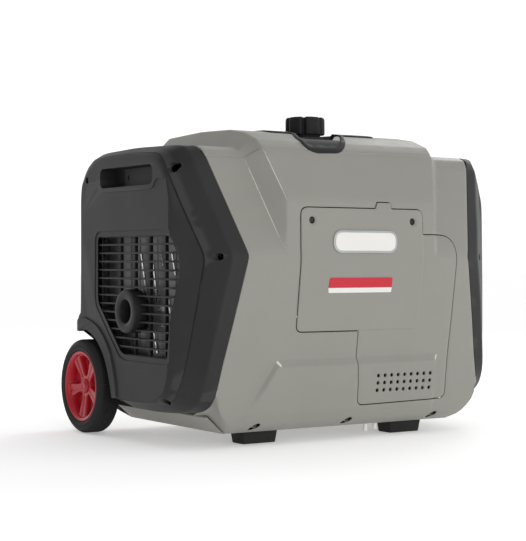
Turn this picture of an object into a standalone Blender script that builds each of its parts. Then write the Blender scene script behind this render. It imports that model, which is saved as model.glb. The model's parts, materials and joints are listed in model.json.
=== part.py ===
"""Portable inverter generator: two-tone cased set with transport wheels, modelled as separate pieces.

Frame: +X runs from the exhaust end to the control end, -Y is the service side, +Y the wheel and
pull-handle side, +Z up.  Origin on the floor under the middle of the machine.  Metres.
"""
import math

import bmesh
import bpy
from mathutils import Vector

# ---------------------------------------------------------------- driving dimensions
WALL = 0.0035            # shell thickness
GAP = 0.0004             # half clearance at every panel seam
BELT_Z = 0.335           # height of the belt ridge on the service side
BELT_X = 0.244           # half length of the grey shell at the belt
END_X = 0.355            # outer face of both end covers
WHEEL_Y, WHEEL_R = 0.162, 0.0885
CRANK_Y, CRANK_Z = -0.020, 0.148
CAP_Y = -0.063           # fuel cap centre (x = 0)
HANDLE_X, HANDLE_Y = 0.115, 0.2145
FOOT_X0, FOOT_X1 = 0.126, 0.203
PORT_Y, PORT_Z = -0.014, 0.235       # exhaust port centre
CORD_Y, CORD_Z = 0.062, 0.236        # recoil cord line

GREY = (0.262, 0.258, 0.232)
BLACK = (0.026, 0.026, 0.027)
DARK = (0.012, 0.012, 0.012)
RED = (0.42, 0.004, 0.012)
STEEL = (0.60, 0.60, 0.60)
ALLOY = (0.52, 0.53, 0.54)
WHITE = (0.78, 0.78, 0.76)
GREEN = (0.02, 0.20, 0.05)


def clear_scene():
    for ob in list(bpy.data.objects):
        bpy.data.objects.remove(ob, do_unlink=True)


def finish(ob, rgb, rough=0.5, metal=0.0):
    """Give the object its own Principled material."""
    mat = bpy.data.materials.new("m_" + ob.name)
    mat.use_nodes = True
    bsdf = mat.node_tree.nodes["Principled BSDF"]
    bsdf.inputs["Base Color"].default_value = (*rgb, 1.0)
    bsdf.inputs["Roughness"].default_value = rough
    bsdf.inputs["Metallic"].default_value = metal
    mat.diffuse_color = (*rgb, 1.0)
    ob.data.materials.clear()
    ob.data.materials.append(mat)
    return ob


def solid(name, verts, faces, pivot=None):
    """Mesh object from points and faces, faces turned outward, origin at the pivot."""
    p = Vector(pivot) if pivot else Vector((0, 0, 0))
    bm = bmesh.new()
    vs = [bm.verts.new(Vector(v) - p) for v in verts]
    for f in faces:
        bm.faces.new([vs[i] for i in f])
    bmesh.ops.recalc_face_normals(bm, faces=bm.faces)
    me = bpy.data.meshes.new(name)
    bm.to_mesh(me)
    bm.free()
    ob = bpy.data.objects.new(name, me)
    ob.location = p
    bpy.context.collection.objects.link(ob)
    return ob


def stack(name, rings, pivot=None, loop=False):
    """Solid through rings of equal length; capped at both ends, or closed round on itself."""
    n = len(rings[0])
    verts = [v for r in rings for v in r]
    faces = []
    m = len(rings)
    for a in range(m if loop else m - 1):
        b = (a + 1) % m
        for k in range(n):
            k2 = (k + 1) % n
            faces.append((a * n + k, a * n + k2, b * n + k2, b * n + k))
    if not loop:
        faces.append(tuple(range(n)))
        faces.append(tuple(range((m - 1) * n, m * n)))
    return solid(name, verts, faces, pivot)


def place(axis, u, v, w):
    """Point from a 2-D section (u, v) and the distance w along the axis."""
    return {"X": (w, u, v), "Y": (u, w, v), "Z": (u, v, w)}[axis]


def prism(name, poly, axis, a, b, pivot=None):
    return stack(name, [[place(axis, u, v, w) for u, v in poly] for w in (a, b)], pivot)


def rounded(u0, v0, u1, v1, r, n=3):
    """Rectangle with rounded corners."""
    pts = []
    for cu, cv, a0 in ((u1 - r, v1 - r, 0), (u0 + r, v1 - r, 90), (u0 + r, v0 + r, 180),
                       (u1 - r, v0 + r, 270)):
        for i in range(n + 1):
            t = math.radians(a0 + 90.0 * i / n)
            pts.append((cu + r * math.cos(t), cv + r * math.sin(t)))
    return pts


def circle(cu, cv, r, n=24, a0=0.0):
    return [(cu + r * math.cos(a0 + 2 * math.pi * i / n), cv + r * math.sin(a0 + 2 * math.pi * i / n))
            for i in range(n)]


def block(name, lo, hi, r=0.0, axis="X", pivot=None):
    """Box, with its four edges along the axis rounded when r is given."""
    i = {"X": (1, 2, 0), "Y": (0, 2, 1), "Z": (0, 1, 2)}[axis]
    u0, v0, u1, v1 = lo[i[0]], lo[i[1]], hi[i[0]], hi[i[1]]
    poly = rounded(u0, v0, u1, v1, r, 2) if r else [(u0, v0), (u1, v0), (u1, v1), (u0, v1)]
    return prism(name, poly, axis, lo[i[2]], hi[i[2]], pivot)


def turned(name, centre, axis, profile, n=24, pivot=None):
    """Turned piece: profile of (radius, distance along axis); a closed outline when no radius is 0."""
    cu, cv = centre
    ring = [(math.cos(2 * math.pi * i / n), math.sin(2 * math.pi * i / n)) for i in range(n)]
    if profile[0][0] > 0:
        return stack(name, [[place(axis, cu + r * c, cv + r * s, h) for c, s in ring] for r, h in profile],
                     pivot, loop=True)
    verts = [place(axis, cu, cv, profile[0][1])]
    mid = profile[1:-1]
    for r, h in mid:
        verts += [place(axis, cu + r * c, cv + r * s, h) for c, s in ring]
    verts.append(place(axis, cu, cv, profile[-1][1]))
    faces = []
    for k in range(n):
        k2 = (k + 1) % n
        faces.append((0, 1 + k, 1 + k2))
        for a in range(len(mid) - 1):
            faces.append((1 + a * n + k, 1 + a * n + k2, 1 + (a + 1) * n + k2, 1 + (a + 1) * n + k))
        last = 1 + (len(mid) - 1) * n
        faces.append((last + k, last + k2, len(verts) - 1))
    return solid(name, verts, faces, pivot)


def tube_path(name, points, r, n=10, pivot=None):
    """Round bar swept along a planar path of points."""
    pts = [Vector(p) for p in points]
    rings = []
    for i, p in enumerate(pts):
        a = pts[max(i - 1, 0)]
        b = pts[min(i + 1, len(pts) - 1)]
        t = (b - a).normalized()
        side = Vector((0, 1, 0))
        up = side.cross(t).normalized()
        stretch = 1.0
        if 0 < i < len(pts) - 1:
            half = (pts[i] - pts[i - 1]).angle(pts[i + 1] - pts[i]) / 2
            stretch = 1.0 / math.cos(half)
        rings.append([p + side * (r * math.cos(2 * math.pi * k / n))
                      + up * (r * stretch * math.sin(2 * math.pi * k / n))
                      for k in range(n)])
    return stack(name, rings, pivot)


def combine(ob, tool, how="DIFFERENCE"):
    """Boolean with a throw-away tool solid, baked into the object's mesh."""
    mod = ob.modifiers.new("shape", "BOOLEAN")
    mod.object = tool
    mod.operation = how
    mod.solver = "EXACT"
    bpy.context.view_layer.update()
    deps = bpy.context.evaluated_depsgraph_get()
    me = bpy.data.meshes.new_from_object(ob.evaluated_get(deps))
    ob.modifiers.clear()
    ob.data = me
    me.name = ob.name
    bpy.data.objects.remove(tool, do_unlink=True)
    return ob


def inset(poly, d):
    """Closed outline moved inward by d (outline may run either way round)."""
    n = len(poly)
    area = sum(poly[i][0] * poly[(i + 1) % n][1] - poly[(i + 1) % n][0] * poly[i][1] for i in range(n))
    s = 1.0 if area > 0 else -1.0
    out = []
    for i in range(n):
        p, a, b = Vector(poly[i]), Vector(poly[i - 1]), Vector(poly[(i + 1) % n])
        e1, e2 = (p - a).normalized(), (b - p).normalized()
        n1, n2 = Vector((-e1.y, e1.x)) * s, Vector((-e2.y, e2.x)) * s
        m = (n1 + n2).normalized()
        out.append(tuple(p + m * (d / max(m.dot(n1), 0.5))))
    return out


# ---------------------------------------------------------------- grey shell
def rim_x(z):
    """Half length of the grey shell on the service side: shortest at the belt."""
    return BELT_X + (0.29 * (z - BELT_Z) if z > BELT_Z else 0.20 * (BELT_Z - z))


def shell_sections():
    """Section of the end lengths and of the raised middle, from the service-side foot over the top."""
    low = [(-0.178, 0.0235), (-0.206, 0.036), (-0.216, 0.058), (-0.220, 0.105), (-0.2245, 0.148),
           (-0.235, 0.215), (-0.2495, 0.322), (-0.250, 0.335)]
    far = [(0.198, 0.300), (0.198, 0.060), (0.190, 0.036), (0.165, 0.0235)]
    end = low + [(-0.2475, 0.345), (-0.2156, 0.432), (-0.190, 0.502), (-0.187, 0.508), (-0.178, 0.520),
                 (-0.160, 0.527), (-0.100, 0.529), (0.0, 0.531), (0.120, 0.528), (0.160, 0.512),
                 (0.186, 0.480), (0.196, 0.450)] + far
    mid = low + [(-0.249, 0.345), (-0.2485, 0.432), (-0.2115, 0.519), (-0.2075, 0.5245), (-0.190, 0.541),
                 (-0.150, 0.556), (-0.100, 0.564), (0.0, 0.567), (0.120, 0.563), (0.165, 0.542),
                 (0.188, 0.500), (0.1965, 0.460)] + far
    return end, mid


SEAM_A, SEAM_B = 11, 18      # section points where the top cover meets the side panels


def shell_grid():
    end, mid = shell_sections()
    edge, c1, c2 = [], [], []
    for j, (y, z) in enumerate(end):
        if y < -0.15:
            edge.append({0: 0.253, 1: 0.268, 2: 0.283}.get(j, min(rim_x(z), 0.300)))
        else:
            edge.append({21: 0.292, 22: 0.268, 23: 0.253}.get(j, 0.300))
        rise = min(max(z - BELT_Z, 0.0), 0.19)
        c1.append(0.1665 + 0.29 * rise)
    for j, (y, z) in enumerate(mid):
        c2.append(0.1645 + 0.28 * min(max(z - 0.432, 0.0), 0.10))
    cols = []
    for s in (-1, 1):
        part = [[(s * edge[j], *end[j]) for j in range(len(end))],
                [(s * c1[j], *end[j]) for j in range(len(end))],
                [(s * c2[j], *mid[j]) for j in range(len(end))]]
        cols += part if s < 0 else [[(0.0, *p) for p in mid]] + part[::-1]
    outer = [[Vector(p) for p in c] for c in cols]
    ni, nj = len(outer), len(end)
    inner = []
    for i in range(ni):
        col = []
        for j in range(nj):
            acc = Vector((0, 0, 0))
            for a in (i - 1, i):
                for b in (j - 1, j):
                    if 0 <= a < ni - 1 and 0 <= b < nj - 1:
                        q = (outer[a][b], outer[a + 1][b], outer[a + 1][b + 1], outer[a][b + 1])
                        acc += ((q[2] - q[0]).cross(q[3] - q[1])).normalized()
            acc.normalize()
            if acc.dot(outer[i][j] - Vector((outer[i][j].x, 0, 0.28))) < 0:
                acc = -acc
            col.append(outer[i][j] - acc * WALL)
        inner.append(col)
    return outer, inner


def shell_panel(name, j0, j1):
    """Closed panel between two section points, drawn back by GAP where it meets a neighbour."""
    outer, inner = shell_grid()
    rows = list(range(j0, j1 + 1))
    ni, nr = len(outer), len(rows)

    def pick(grid, i, j):
        p = grid[i][j].copy()
        for seam, edge_j in ((SEAM_A, j0), (SEAM_A, j1), (SEAM_B, j0), (SEAM_B, j1)):
            if j == seam == edge_j:
                q = grid[i][j + 1 if j == j0 else j - 1]
                p += (q - p).normalized() * GAP
        return p

    verts = ([pick(outer, i, j) for i in range(ni) for j in rows]
             + [pick(inner, i, j) for i in range(ni) for j in rows])
    off = ni * nr

    def idx(i, r, layer):
        return layer * off + i * nr + r

    faces = []
    for layer in (0, 1):
        for i in range(ni - 1):
            for r in range(nr - 1):
                q = (idx(i, r, layer), idx(i + 1, r, layer), idx(i + 1, r + 1, layer), idx(i, r + 1, layer))
                faces.append(q)
    for i in range(ni - 1):
        for r in (0, nr - 1):
            faces.append((idx(i, r, 0), idx(i + 1, r, 0), idx(i + 1, r, 1), idx(i, r, 1)))
    for r in range(nr - 1):
        for i in (0, ni - 1):
            faces.append((idx(i, r, 0), idx(i, r + 1, 0), idx(i, r + 1, 1), idx(i, r, 1)))
    return solid(name, verts, faces)


def service_outline():
    """Edge of the removable service cover in x, z: a tall rectangle and a lower right extension."""
    return [(-0.137, 0.214), (-0.128, 0.200), (-0.012, 0.199), (-0.001, 0.190), (0.0, 0.150), (0.007, 0.074),
            (0.018, 0.062), (0.200, 0.066), (0.213, 0.078), (0.218, 0.215), (0.2185, 0.330), (0.212, 0.362),
            (0.196, 0.375), (0.1365, 0.3755), (0.1345, 0.405), (0.124, 0.4205), (0.064, 0.4215),
            (0.060, 0.433),
            (0.030, 0.433), (0.026, 0.4215), (-0.122, 0.4215), (-0.1375, 0.408)]


def plateau(name):
    """Low raised field on the lower flank: a chamfered upper edge, fading out towards the bottom edge."""
    profile = [(-0.2050, 0.0525), (-0.2165, 0.0530), (-0.2265, 0.1390), (-0.2185, 0.1520), (-0.2050, 0.1520)]
    outline = [(-0.238, 0.050), (-0.171, 0.154), (0.181, 0.154), (0.189, 0.145), (0.190, 0.050)]
    field = prism(name, profile, "X", -0.245, 0.195)
    return combine(field, prism("tool_p", outline, "Y", -0.24, -0.19), "INTERSECT")


def service_side():
    sheet = shell_panel("side_panel_service", 0, SEAM_A)
    combine(sheet, plateau("tool_a"), "UNION")
    cover = sheet.copy()
    cover.data = sheet.data.copy()
    cover.name = "service_cover"
    bpy.context.collection.objects.link(cover)
    combine(sheet, prism("tool_b", service_outline(), "Y", -0.30, -0.15))
    combine(cover, prism("tool_c", inset(service_outline(), 2 * GAP), "Y", -0.30, -0.15), "INTERSECT")
    for row in range(3):
        for k in range(9):
            x, z = 0.0495 + 0.01515 * k, 0.1165 - 0.0135 * row
            combine(cover, prism("tool_h", circle(x, z, 0.0036, 6), "Y", -0.30, -0.15))
    for s in (-1, 1):
        combine(cover, prism("tool_s", circle(s * 0.112, 0.398, 0.0066, 12), "Y", -0.30, -0.15))
    finish(sheet, GREY, 0.45)
    finish(cover, GREY, 0.45)
    for s, tag in ((-1, "l"), (1, "r")):
        screw = turned("cover_screw_" + tag, (s * 0.112, 0.398), "Y",
                       [(0, -0.2455), (0.0045, -0.2455), (0.0060, -0.2435), (0.0060, -0.2405),
                        (0.0032, -0.2400),
                        (0.0032, -0.2325), (0, -0.2325)], 12, (s * 0.112, -0.24, 0.398))
        combine(screw, block("tool_k", (s * 0.112 - 0.0008, -0.25, 0.392),
                             (s * 0.112 + 0.0008, -0.2440, 0.404)))
        finish(screw, DARK, 0.35, 0.6)


def base_tray():
    out = [(-0.2865, 0.053), (-0.2535, 0.0235), (0.2535, 0.0235), (0.2865, 0.053)]
    inn = [(0.2845, 0.0560), (0.2525, 0.0270), (-0.2525, 0.0270), (-0.2845, 0.0560)]
    tray = prism("base_tray", out + inn, "Y", -0.1755, 0.1625)
    finish(tray, GREY, 0.5)
    for s, tag in ((-1, "l"), (1, "r")):
        x0, x1 = sorted((s * FOOT_X0, s * FOOT_X1))
        foot = stack("foot_" + tag, [[(x, y, 0.0) for x, y in rounded(x0 + 0.003, -0.159, x1 - 0.003, -0.120,
                                                                      0.005, 2)],
                                     [(x, y, 0.0232) for x, y in rounded(x0, -0.162, x1, -0.117, 0.005, 2)]])
        finish(foot, DARK, 0.8)


def top_cover():
    top = shell_panel("top_cover", SEAM_A, SEAM_B)
    combine(top, prism("tool_a", rounded(-0.1145, -0.1235, 0.1145, 0.0955, 0.012), "Z", 0.50, 0.60))
    finish(top, GREY, 0.45)


def lip_outline():
    """Plan view of the spill lip in x, y: it narrows and leans towards the exhaust end."""
    return [(-0.073, -0.110), (-0.0965, -0.173), (-0.0995, -0.195), (-0.092, -0.207), (-0.078, -0.2105),
            (-0.025, -0.2105), (-0.009, -0.202), (0.003, -0.190), (0.022, -0.158), (0.045, -0.120),
            (0.045, -0.110)]


def fuel_tray():
    """Black insert on the raised top with a filler recess and a spill lip over the shoulder."""
    skin = [(-0.1300, 0.5600), (-0.1000, 0.5650), (0.0, 0.5678), (0.1000, 0.5645), (0.1000, 0.5665),
            (0.0, 0.5698), (-0.1000, 0.5670), (-0.1300, 0.5620)]
    tray = prism("fuel_tray", skin, "X", -0.118, 0.118)
    combine(tray, block("tool_a", (-0.088, -0.118, 0.548), (0.078, 0.080, 0.5675), 0.02, "Z"), "UNION")
    lip = [(-0.1150, 0.5500), (-0.1212, 0.5613), (-0.1520, 0.5563), (-0.1915, 0.5415), (-0.2045, 0.5290),
           (-0.2100, 0.5330), (-0.1960, 0.5475), (-0.1550, 0.5620), (-0.1150, 0.5680)]
    tongue = prism("tool_b", lip, "X", -0.105, 0.050)
    combine(tongue, prism("tool_l", lip_outline(), "Z", 0.50, 0.60), "INTERSECT")
    combine(tray, tongue, "UNION")
    combine(tray, block("tool_c", (-0.083, -0.105, 0.551), (0.073, 0.075, 0.60), 0.018, "Z"))
    combine(tray, block("tool_d", (-0.060, -0.150, 0.5590), (0.024, -0.10, 0.60)))
    combine(tray, prism("tool_e", circle(0.0, CAP_Y, 0.0285, 24), "Z", 0.54, 0.60))
    finish(tray, BLACK, 0.5)


def fuel_tank():
    def body(name, d, z0, z1):
        return stack(name, [[(x, y, z) for x, y in rounded(-0.170 + d, -0.150 + d, 0.170 - d, 0.105 - d,
                                                           0.03)]
                            for z in (z0, z1)])
    tank = body("fuel_tank", 0.0, 0.425, 0.5430)
    combine(tank, prism("tool_a", circle(0.0, CAP_Y, 0.0280, 24), "Z", 0.53, 0.5605), "UNION")
    hollow = body("tool_b", 0.004, 0.429, 0.5390)
    combine(hollow, prism("tool_c", circle(0.0, CAP_Y, 0.0235, 24), "Z", 0.53, 0.60), "UNION")
    combine(tank, hollow)
    finish(tank, DARK, 0.6)


def fuel_cap():
    seal = turned("cap_gasket", (0.0, CAP_Y), "Z",
                  [(0, 0.5500), (0.0215, 0.5500), (0.0215, 0.5612), (0.0290, 0.5612), (0.0290, 0.5642),
                   (0, 0.5642)],
                  24, (0, CAP_Y, 0.5642))
    finish(seal, DARK, 0.7)
    n, lobes = 60, 6

    def ring(r, dip, z):
        out = []
        for k in range(n):
            t = 2 * math.pi * k / n
            w = max(0.0, math.cos(lobes * t)) ** 6
            q = r - dip * w
            out.append((q * math.cos(t), CAP_Y + q * math.sin(t), z))
        return out
    cap = stack("fuel_cap", [ring(0.0350, 0.0055, 0.5645), ring(0.0370, 0.0060, 0.5675),
                             ring(0.0370, 0.0060, 0.5945),
                             ring(0.0345, 0.0050, 0.5980)], (0, CAP_Y, 0.5645))
    finish(cap, BLACK, 0.4)


# ---------------------------------------------------------------- end covers
def cover_rings():
    """Four outlines from the shell joint to the flat face, as (y, z, |x|)."""
    d = [(0.119, 0.512), (0.0, 0.513), (-0.118, 0.508), (-0.150, 0.476), (-0.165, 0.440), (-0.166, 0.385),
         (-0.166, 0.331), (-0.166, 0.262), (-0.166, 0.185), (-0.159, 0.115), (-0.128, 0.080), (-0.050, 0.074),
         (0.046, 0.074), (0.057, 0.110), (0.078, 0.152), (0.115, 0.183), (0.158, 0.1965), (0.1885, 0.190),
         (0.1885, 0.218), (0.175, 0.227), (0.174, 0.340), (0.174, 0.460), (0.150, 0.490)]
    c = [(0.122, 0.519, .350), (0.0, 0.521, .350), (-0.125, 0.516, .350), (-0.156, 0.480, .3515),
         (-0.172, 0.437, .341), (-0.193, 0.383, .3256), (-0.213, 0.331, .310), (-0.204, 0.262, .319),
         (-0.194, 0.185, .328), (-0.178, 0.110, .337), (-0.140, 0.074, .338), (-0.052, 0.068, .338),
         (0.046, 0.068, .338), (0.057, 0.110, .345), (0.078, 0.152, .345), (0.115, 0.183, .345),
         (0.158, 0.1965, .345), (0.1905, 0.190, .345), (0.1905, 0.219, .345), (0.180, 0.228, .345),
         (0.180, 0.340, .345), (0.179, 0.463, .347), (0.154, 0.496, .349)]
    b = [(0.130, 0.529, .330), (0.0, 0.532, .330), (-0.160, 0.528, .325), (-0.187, 0.499, .3175),
         (-0.208, 0.441, .301), (-0.2295, 0.385, .286), (-0.247, 0.335, .271), (-0.2385, 0.262, .286),
         (-0.227, 0.185, .3000), (-0.2155, 0.105, .3135), (-0.176, 0.062, .315), (-0.058, 0.055, .315),
         (0.046, 0.055, .315), (0.057, 0.110, .325), (0.078, 0.152, .325), (0.115, 0.183, .325),
         (0.158, 0.1965, .325), (0.192, 0.190, .325), (0.192, 0.220, .325), (0.191, 0.232, .325),
         (0.192, 0.340, .325), (0.189, 0.468, .325), (0.166, 0.505, .327)]
    a = []
    for y, z, _ in ((0.132, 0.5275, 0), (0.0, 0.531, 0), (-0.160, 0.527, 0), (-0.190, 0.502, 0),
                    (-0.2127, 0.440, 0),
                    (-0.2330, 0.385, 0), (-0.250, 0.335, 0), (-0.2415, 0.262, 0), (-0.230, 0.185, 0),
                    (-0.220, 0.105, 0), (-0.190, 0.062, 0), (-0.058, 0.052, 0), (0.046, 0.052, 0),
                    (0.057, 0.110, 0),
                    (0.078, 0.152, 0), (0.115, 0.183, 0), (0.158, 0.1965, 0), (0.198, 0.190, 0),
                    (0.198, 0.220, 0),
                    (0.198, 0.232, 0), (0.198, 0.340, 0), (0.193, 0.463, 0), (0.167, 0.505, 0)):
        side = y < -0.15 and z > 0.08
        a.append((y, z, (min(rim_x(z), 0.300) if side else 0.300) + 0.0012))
    a[10] = (*a[10][:2], 0.2890)
    a[11] = (*a[11][:2], 0.2890)
    a[12] = (*a[12][:2], 0.2930)
    return a, b, c, [(y, z, END_X) for y, z in d]


def cover_body(name, s):
    rings = cover_rings()
    outer = [[(s * x, y, z) for y, z, x in r] for r in rings]
    inner = []
    for r, back in zip(rings, (0.0, 0.002, 0.003, 0.003)):
        flat = inset([(y, z) for y, z, _ in r], 0.003)
        inner.append([(s * (x - back), y, z) for (y, z), (_, _, x) in zip(flat, r)])
    n = len(outer[0])
    seq = outer + inner[::-1]
    verts = [v for r in seq for v in r]
    faces = []
    m = len(seq)
    for a in range(m):
        b = (a + 1) % m
        if a == 3:
            continue
        for k in range(n):
            k2 = (k + 1) % n
            faces.append((a * n + k, a * n + k2, b * n + k2, b * n + k))
    faces.append(tuple(range(3 * n, 4 * n)))
    faces.append(tuple(range(4 * n, 5 * n)))
    return solid(name, verts, faces)


def grille_outline():
    return [(0.108, 0.371), (-0.168, 0.371), (-0.1825, 0.322), (-0.176, 0.281), (-0.1615, 0.192),
            (-0.156, 0.156),
            (-0.005, 0.156), (0.015, 0.160), (0.108, 0.249)]


def exhaust_cover():
    ob = cover_body("exhaust_cover", -1)
    cup = prism("tool_a", rounded(-0.111, 0.4575, 0.097, 0.4995, 0.012), "X", -0.3535, -0.322)
    combine(ob, cup, "UNION")
    combine(ob, prism("tool_b", rounded(-0.108, 0.4605, 0.094, 0.4965, 0.012), "X", -0.36, -0.325))
    combine(ob, prism("tool_c", grille_outline(), "X", -0.37, -0.27))
    finish(ob, BLACK, 0.55)


def lattice(name, us, vs, is_solid, x0, x1):
    """Flat lattice in y, z from grid lines; a cell is kept where is_solid says so."""
    keep = {(i, j) for i in range(len(us) - 1) for j in range(len(vs) - 1) if is_solid(i, j)}
    ids, verts, faces = {}, [], []

    def vid(i, j, x):
        key = (i, j, x)
        if key not in ids:
            ids[key] = len(verts)
            verts.append((x, us[i], vs[j]))
        return ids[key]
    for i, j in keep:
        for x in (x0, x1):
            faces.append((vid(i, j, x), vid(i + 1, j, x), vid(i + 1, j + 1, x), vid(i, j + 1, x)))
        for di, dj, p, q in ((-1, 0, (i, j), (i, j + 1)), (1, 0, (i + 1, j), (i + 1, j + 1)),
                             (0, -1, (i, j), (i + 1, j)), (0, 1, (i, j + 1), (i + 1, j + 1))):
            if (i + di, j + dj) not in keep:
                faces.append((vid(*p, x0), vid(*q, x0), vid(*q, x1), vid(*p, x1)))
    return solid(name, verts, faces)


def exhaust_grille():
    us = [-0.186]
    for k in range(5):
        c = -0.128 + 0.0565 * k
        us += [c - 0.002, c + 0.002]
    us.append(0.112)
    vs = []
    for k in range(15):
        c = 0.1555 + 0.0154 * k
        vs += [c - 0.0024, c + 0.0024]
    ob = lattice("exhaust_grille", us, vs, lambda i, j: i % 2 == 1 or j % 2 == 0, -0.3455, -0.3395)
    combine(ob, prism("tool_a", inset(grille_outline(), 0.0006), "X", -0.38, -0.30), "INTERSECT")
    combine(ob, prism("tool_b", circle(PORT_Y, PORT_Z, 0.0330, 24), "X", -0.38, -0.30))
    ring = turned("tool_c", (PORT_Y, PORT_Z), "X",
                  [(0.0260, -0.3600), (0.0285, -0.3630), (0.0375, -0.3630), (0.0403, -0.3600),
                   (0.0403, -0.3360),
                   (0.0260, -0.3360)], 24)
    combine(ob, ring, "UNION")
    finish(ob, DARK, 0.55)


def control_cover():
    ob = cover_body("control_cover", 1)
    combine(ob, prism("tool_a", rounded(-0.1505, 0.1795, 0.1205, 0.4455, 0.012), "X", 0.30, 0.37))
    combine(ob, prism("tool_b", rounded(-0.108, 0.4605, 0.094, 0.4965, 0.012), "X", 0.345, 0.37))
    cup = prism("tool_c", rounded(-0.111, 0.4575, 0.097, 0.4995, 0.012), "X", 0.322, 0.3535)
    combine(cup, prism("tool_d", rounded(-0.108, 0.4605, 0.094, 0.4965, 0.012), "X", 0.325, 0.37))
    combine(ob, cup, "UNION")
    for k in range(4):
        z = 0.094 + 0.0170 * k
        combine(ob, block("tool_e", (0.34, -0.120, z), (0.37, 0.020, z + 0.005)))
    finish(ob, BLACK, 0.55)


# ---------------------------------------------------------------- wheels
def wheels():
    axle = turned("axle", (WHEEL_Y, WHEEL_R), "X", [(0, -0.350), (0.0068, -0.350), (0.0072, -0.3492),
                                                    (0.0072, 0.3492), (0.0068, 0.350), (0, 0.350)], 16)
    finish(axle, STEEL, 0.3, 1.0)
    for s, tag in ((-1, "l"), (1, "r")):
        pivot = (s * 0.342, WHEEL_Y, WHEEL_R)
        w = [(0.0672, 0.320), (0.0760, 0.318), (0.0885, 0.325), (0.0885, 0.359), (0.0760, 0.366),
             (0.0672, 0.364)]
        tyre = turned("tyre_" + tag, (WHEEL_Y, WHEEL_R), "X", [(r, s * x) for r, x in w], 32, pivot)
        finish(tyre, DARK, 0.85)
        rim(tag, s, pivot)


def rim(tag, s, pivot):
    """Five-spoke rim: rings of points at set radii, with five deep pockets between hub and outer band."""
    n, floor = 30, 0.3405
    band = [(0.0076, 0.3510, 0.3200), (0.0240, 0.3510, 0.3200), (0.0265, 0.3500, 0.3360),
            (0.0540, 0.3540, 0.3360),
            (0.0570, 0.3600, 0.3230), (0.0668, 0.3630, 0.3210)]
    verts, faces = [], []

    def point(r, x, k):
        t = 2 * math.pi * k / n + math.pi / 2
        return (s * x, WHEEL_Y + r * math.cos(t), WHEEL_R + r * math.sin(t))
    for r, f, b in band:
        for face in (f, b):
            verts += [point(r, face, k) for k in range(n)]

    def vid(ring, side, k):
        return (ring * 2 + side) * n + k % n

    def is_pocket(ring, side, k):
        return ring == 2 and side == 0 and k % 6 in (1, 2, 3, 4)
    for ring in range(len(band) - 1):
        for k in range(n):
            for side in (0, 1):
                if not is_pocket(ring, side, k):
                    faces.append((vid(ring, side, k), vid(ring, side, k + 1), vid(ring + 1, side, k + 1),
                                  vid(ring + 1, side, k)))
    for k in range(n):
        faces.append((vid(0, 0, k), vid(0, 0, k + 1), vid(0, 1, k + 1), vid(0, 1, k)))
        e = len(band) - 1
        faces.append((vid(e, 0, k), vid(e, 0, k + 1), vid(e, 1, k + 1), vid(e, 1, k)))
    for w in range(5):
        ks = [6 * w + j for j in range(1, 6)]
        rim_loop = [vid(2, 0, k) for k in ks] + [vid(3, 0, k) for k in ks[::-1]]
        base = len(verts)
        verts += [point(0.0265, floor, k) for k in ks] + [point(0.0540, floor, k) for k in ks[::-1]]
        m = len(rim_loop)
        for j in range(m):
            j2 = (j + 1) % m
            faces.append((rim_loop[j], rim_loop[j2], base + j2, base + j))
        for j in range(4):
            faces.append((base + j, base + j + 1, base + m - 2 - j, base + m - 1 - j))
    ob = solid("rim_" + tag, verts, faces, pivot)
    finish(ob, RED, 0.3)


# ---------------------------------------------------------------- pull handle
def pull_handle():
    for s, tag in ((-1, "l"), (1, "r")):
        sleeve = stack("guide_sleeve_" + tag,
                       [[(x, y, z) for x, y in circle(s * HANDLE_X, HANDLE_Y, r, 16)]
                        for r, z in ((0.0108, 0.085), (0.0108, 0.470), (0.0078, 0.470), (0.0078, 0.085))],
                       loop=True)
        for z in (0.13, 0.42):
            combine(sleeve, block("tool_a", (s * HANDLE_X - 0.008, 0.1986, z),
                                  (s * HANDLE_X + 0.008, 0.2062, z + 0.03)),
                    "UNION")
        finish(sleeve, BLACK, 0.5)
    top, bend = 0.494, 0.022
    pts = [(-HANDLE_X, HANDLE_Y, 0.100), (-HANDLE_X, HANDLE_Y, top - bend)]
    for k in range(1, 4):
        t = math.radians(90.0 * k / 4)
        pts.append((-HANDLE_X + bend * (1 - math.cos(t)), HANDLE_Y, top - bend + bend * math.sin(t)))
    pts.append((-HANDLE_X + bend, HANDLE_Y, top))
    pts += [(-x, y, z) for x, y, z in pts[::-1]]
    bar = tube_path("handle_frame", pts, 0.0072, 12)
    finish(bar, ALLOY, 0.35, 1.0)
    grip = turned("handle_grip", (HANDLE_Y, top), "X",
                  [(0.0076, -0.080), (0.0130, -0.080), (0.0150, -0.074), (0.0150, 0.074), (0.0130, 0.080),
                   (0.0076, 0.080)], 20)
    combine(grip, block("tool_a", (-0.0205, HANDLE_Y - 0.0060, top), (0.0205, HANDLE_Y + 0.0060, top + 0.03)))
    finish(grip, BLACK, 0.75)
    button = block("handle_release", (-0.0200, HANDLE_Y - 0.0055, top + 0.0098),
                   (0.0200, HANDLE_Y + 0.0055, top + 0.0172),
                   0.002, "X", (0, HANDLE_Y, top + 0.0172))
    finish(button, RED, 0.4)


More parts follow.
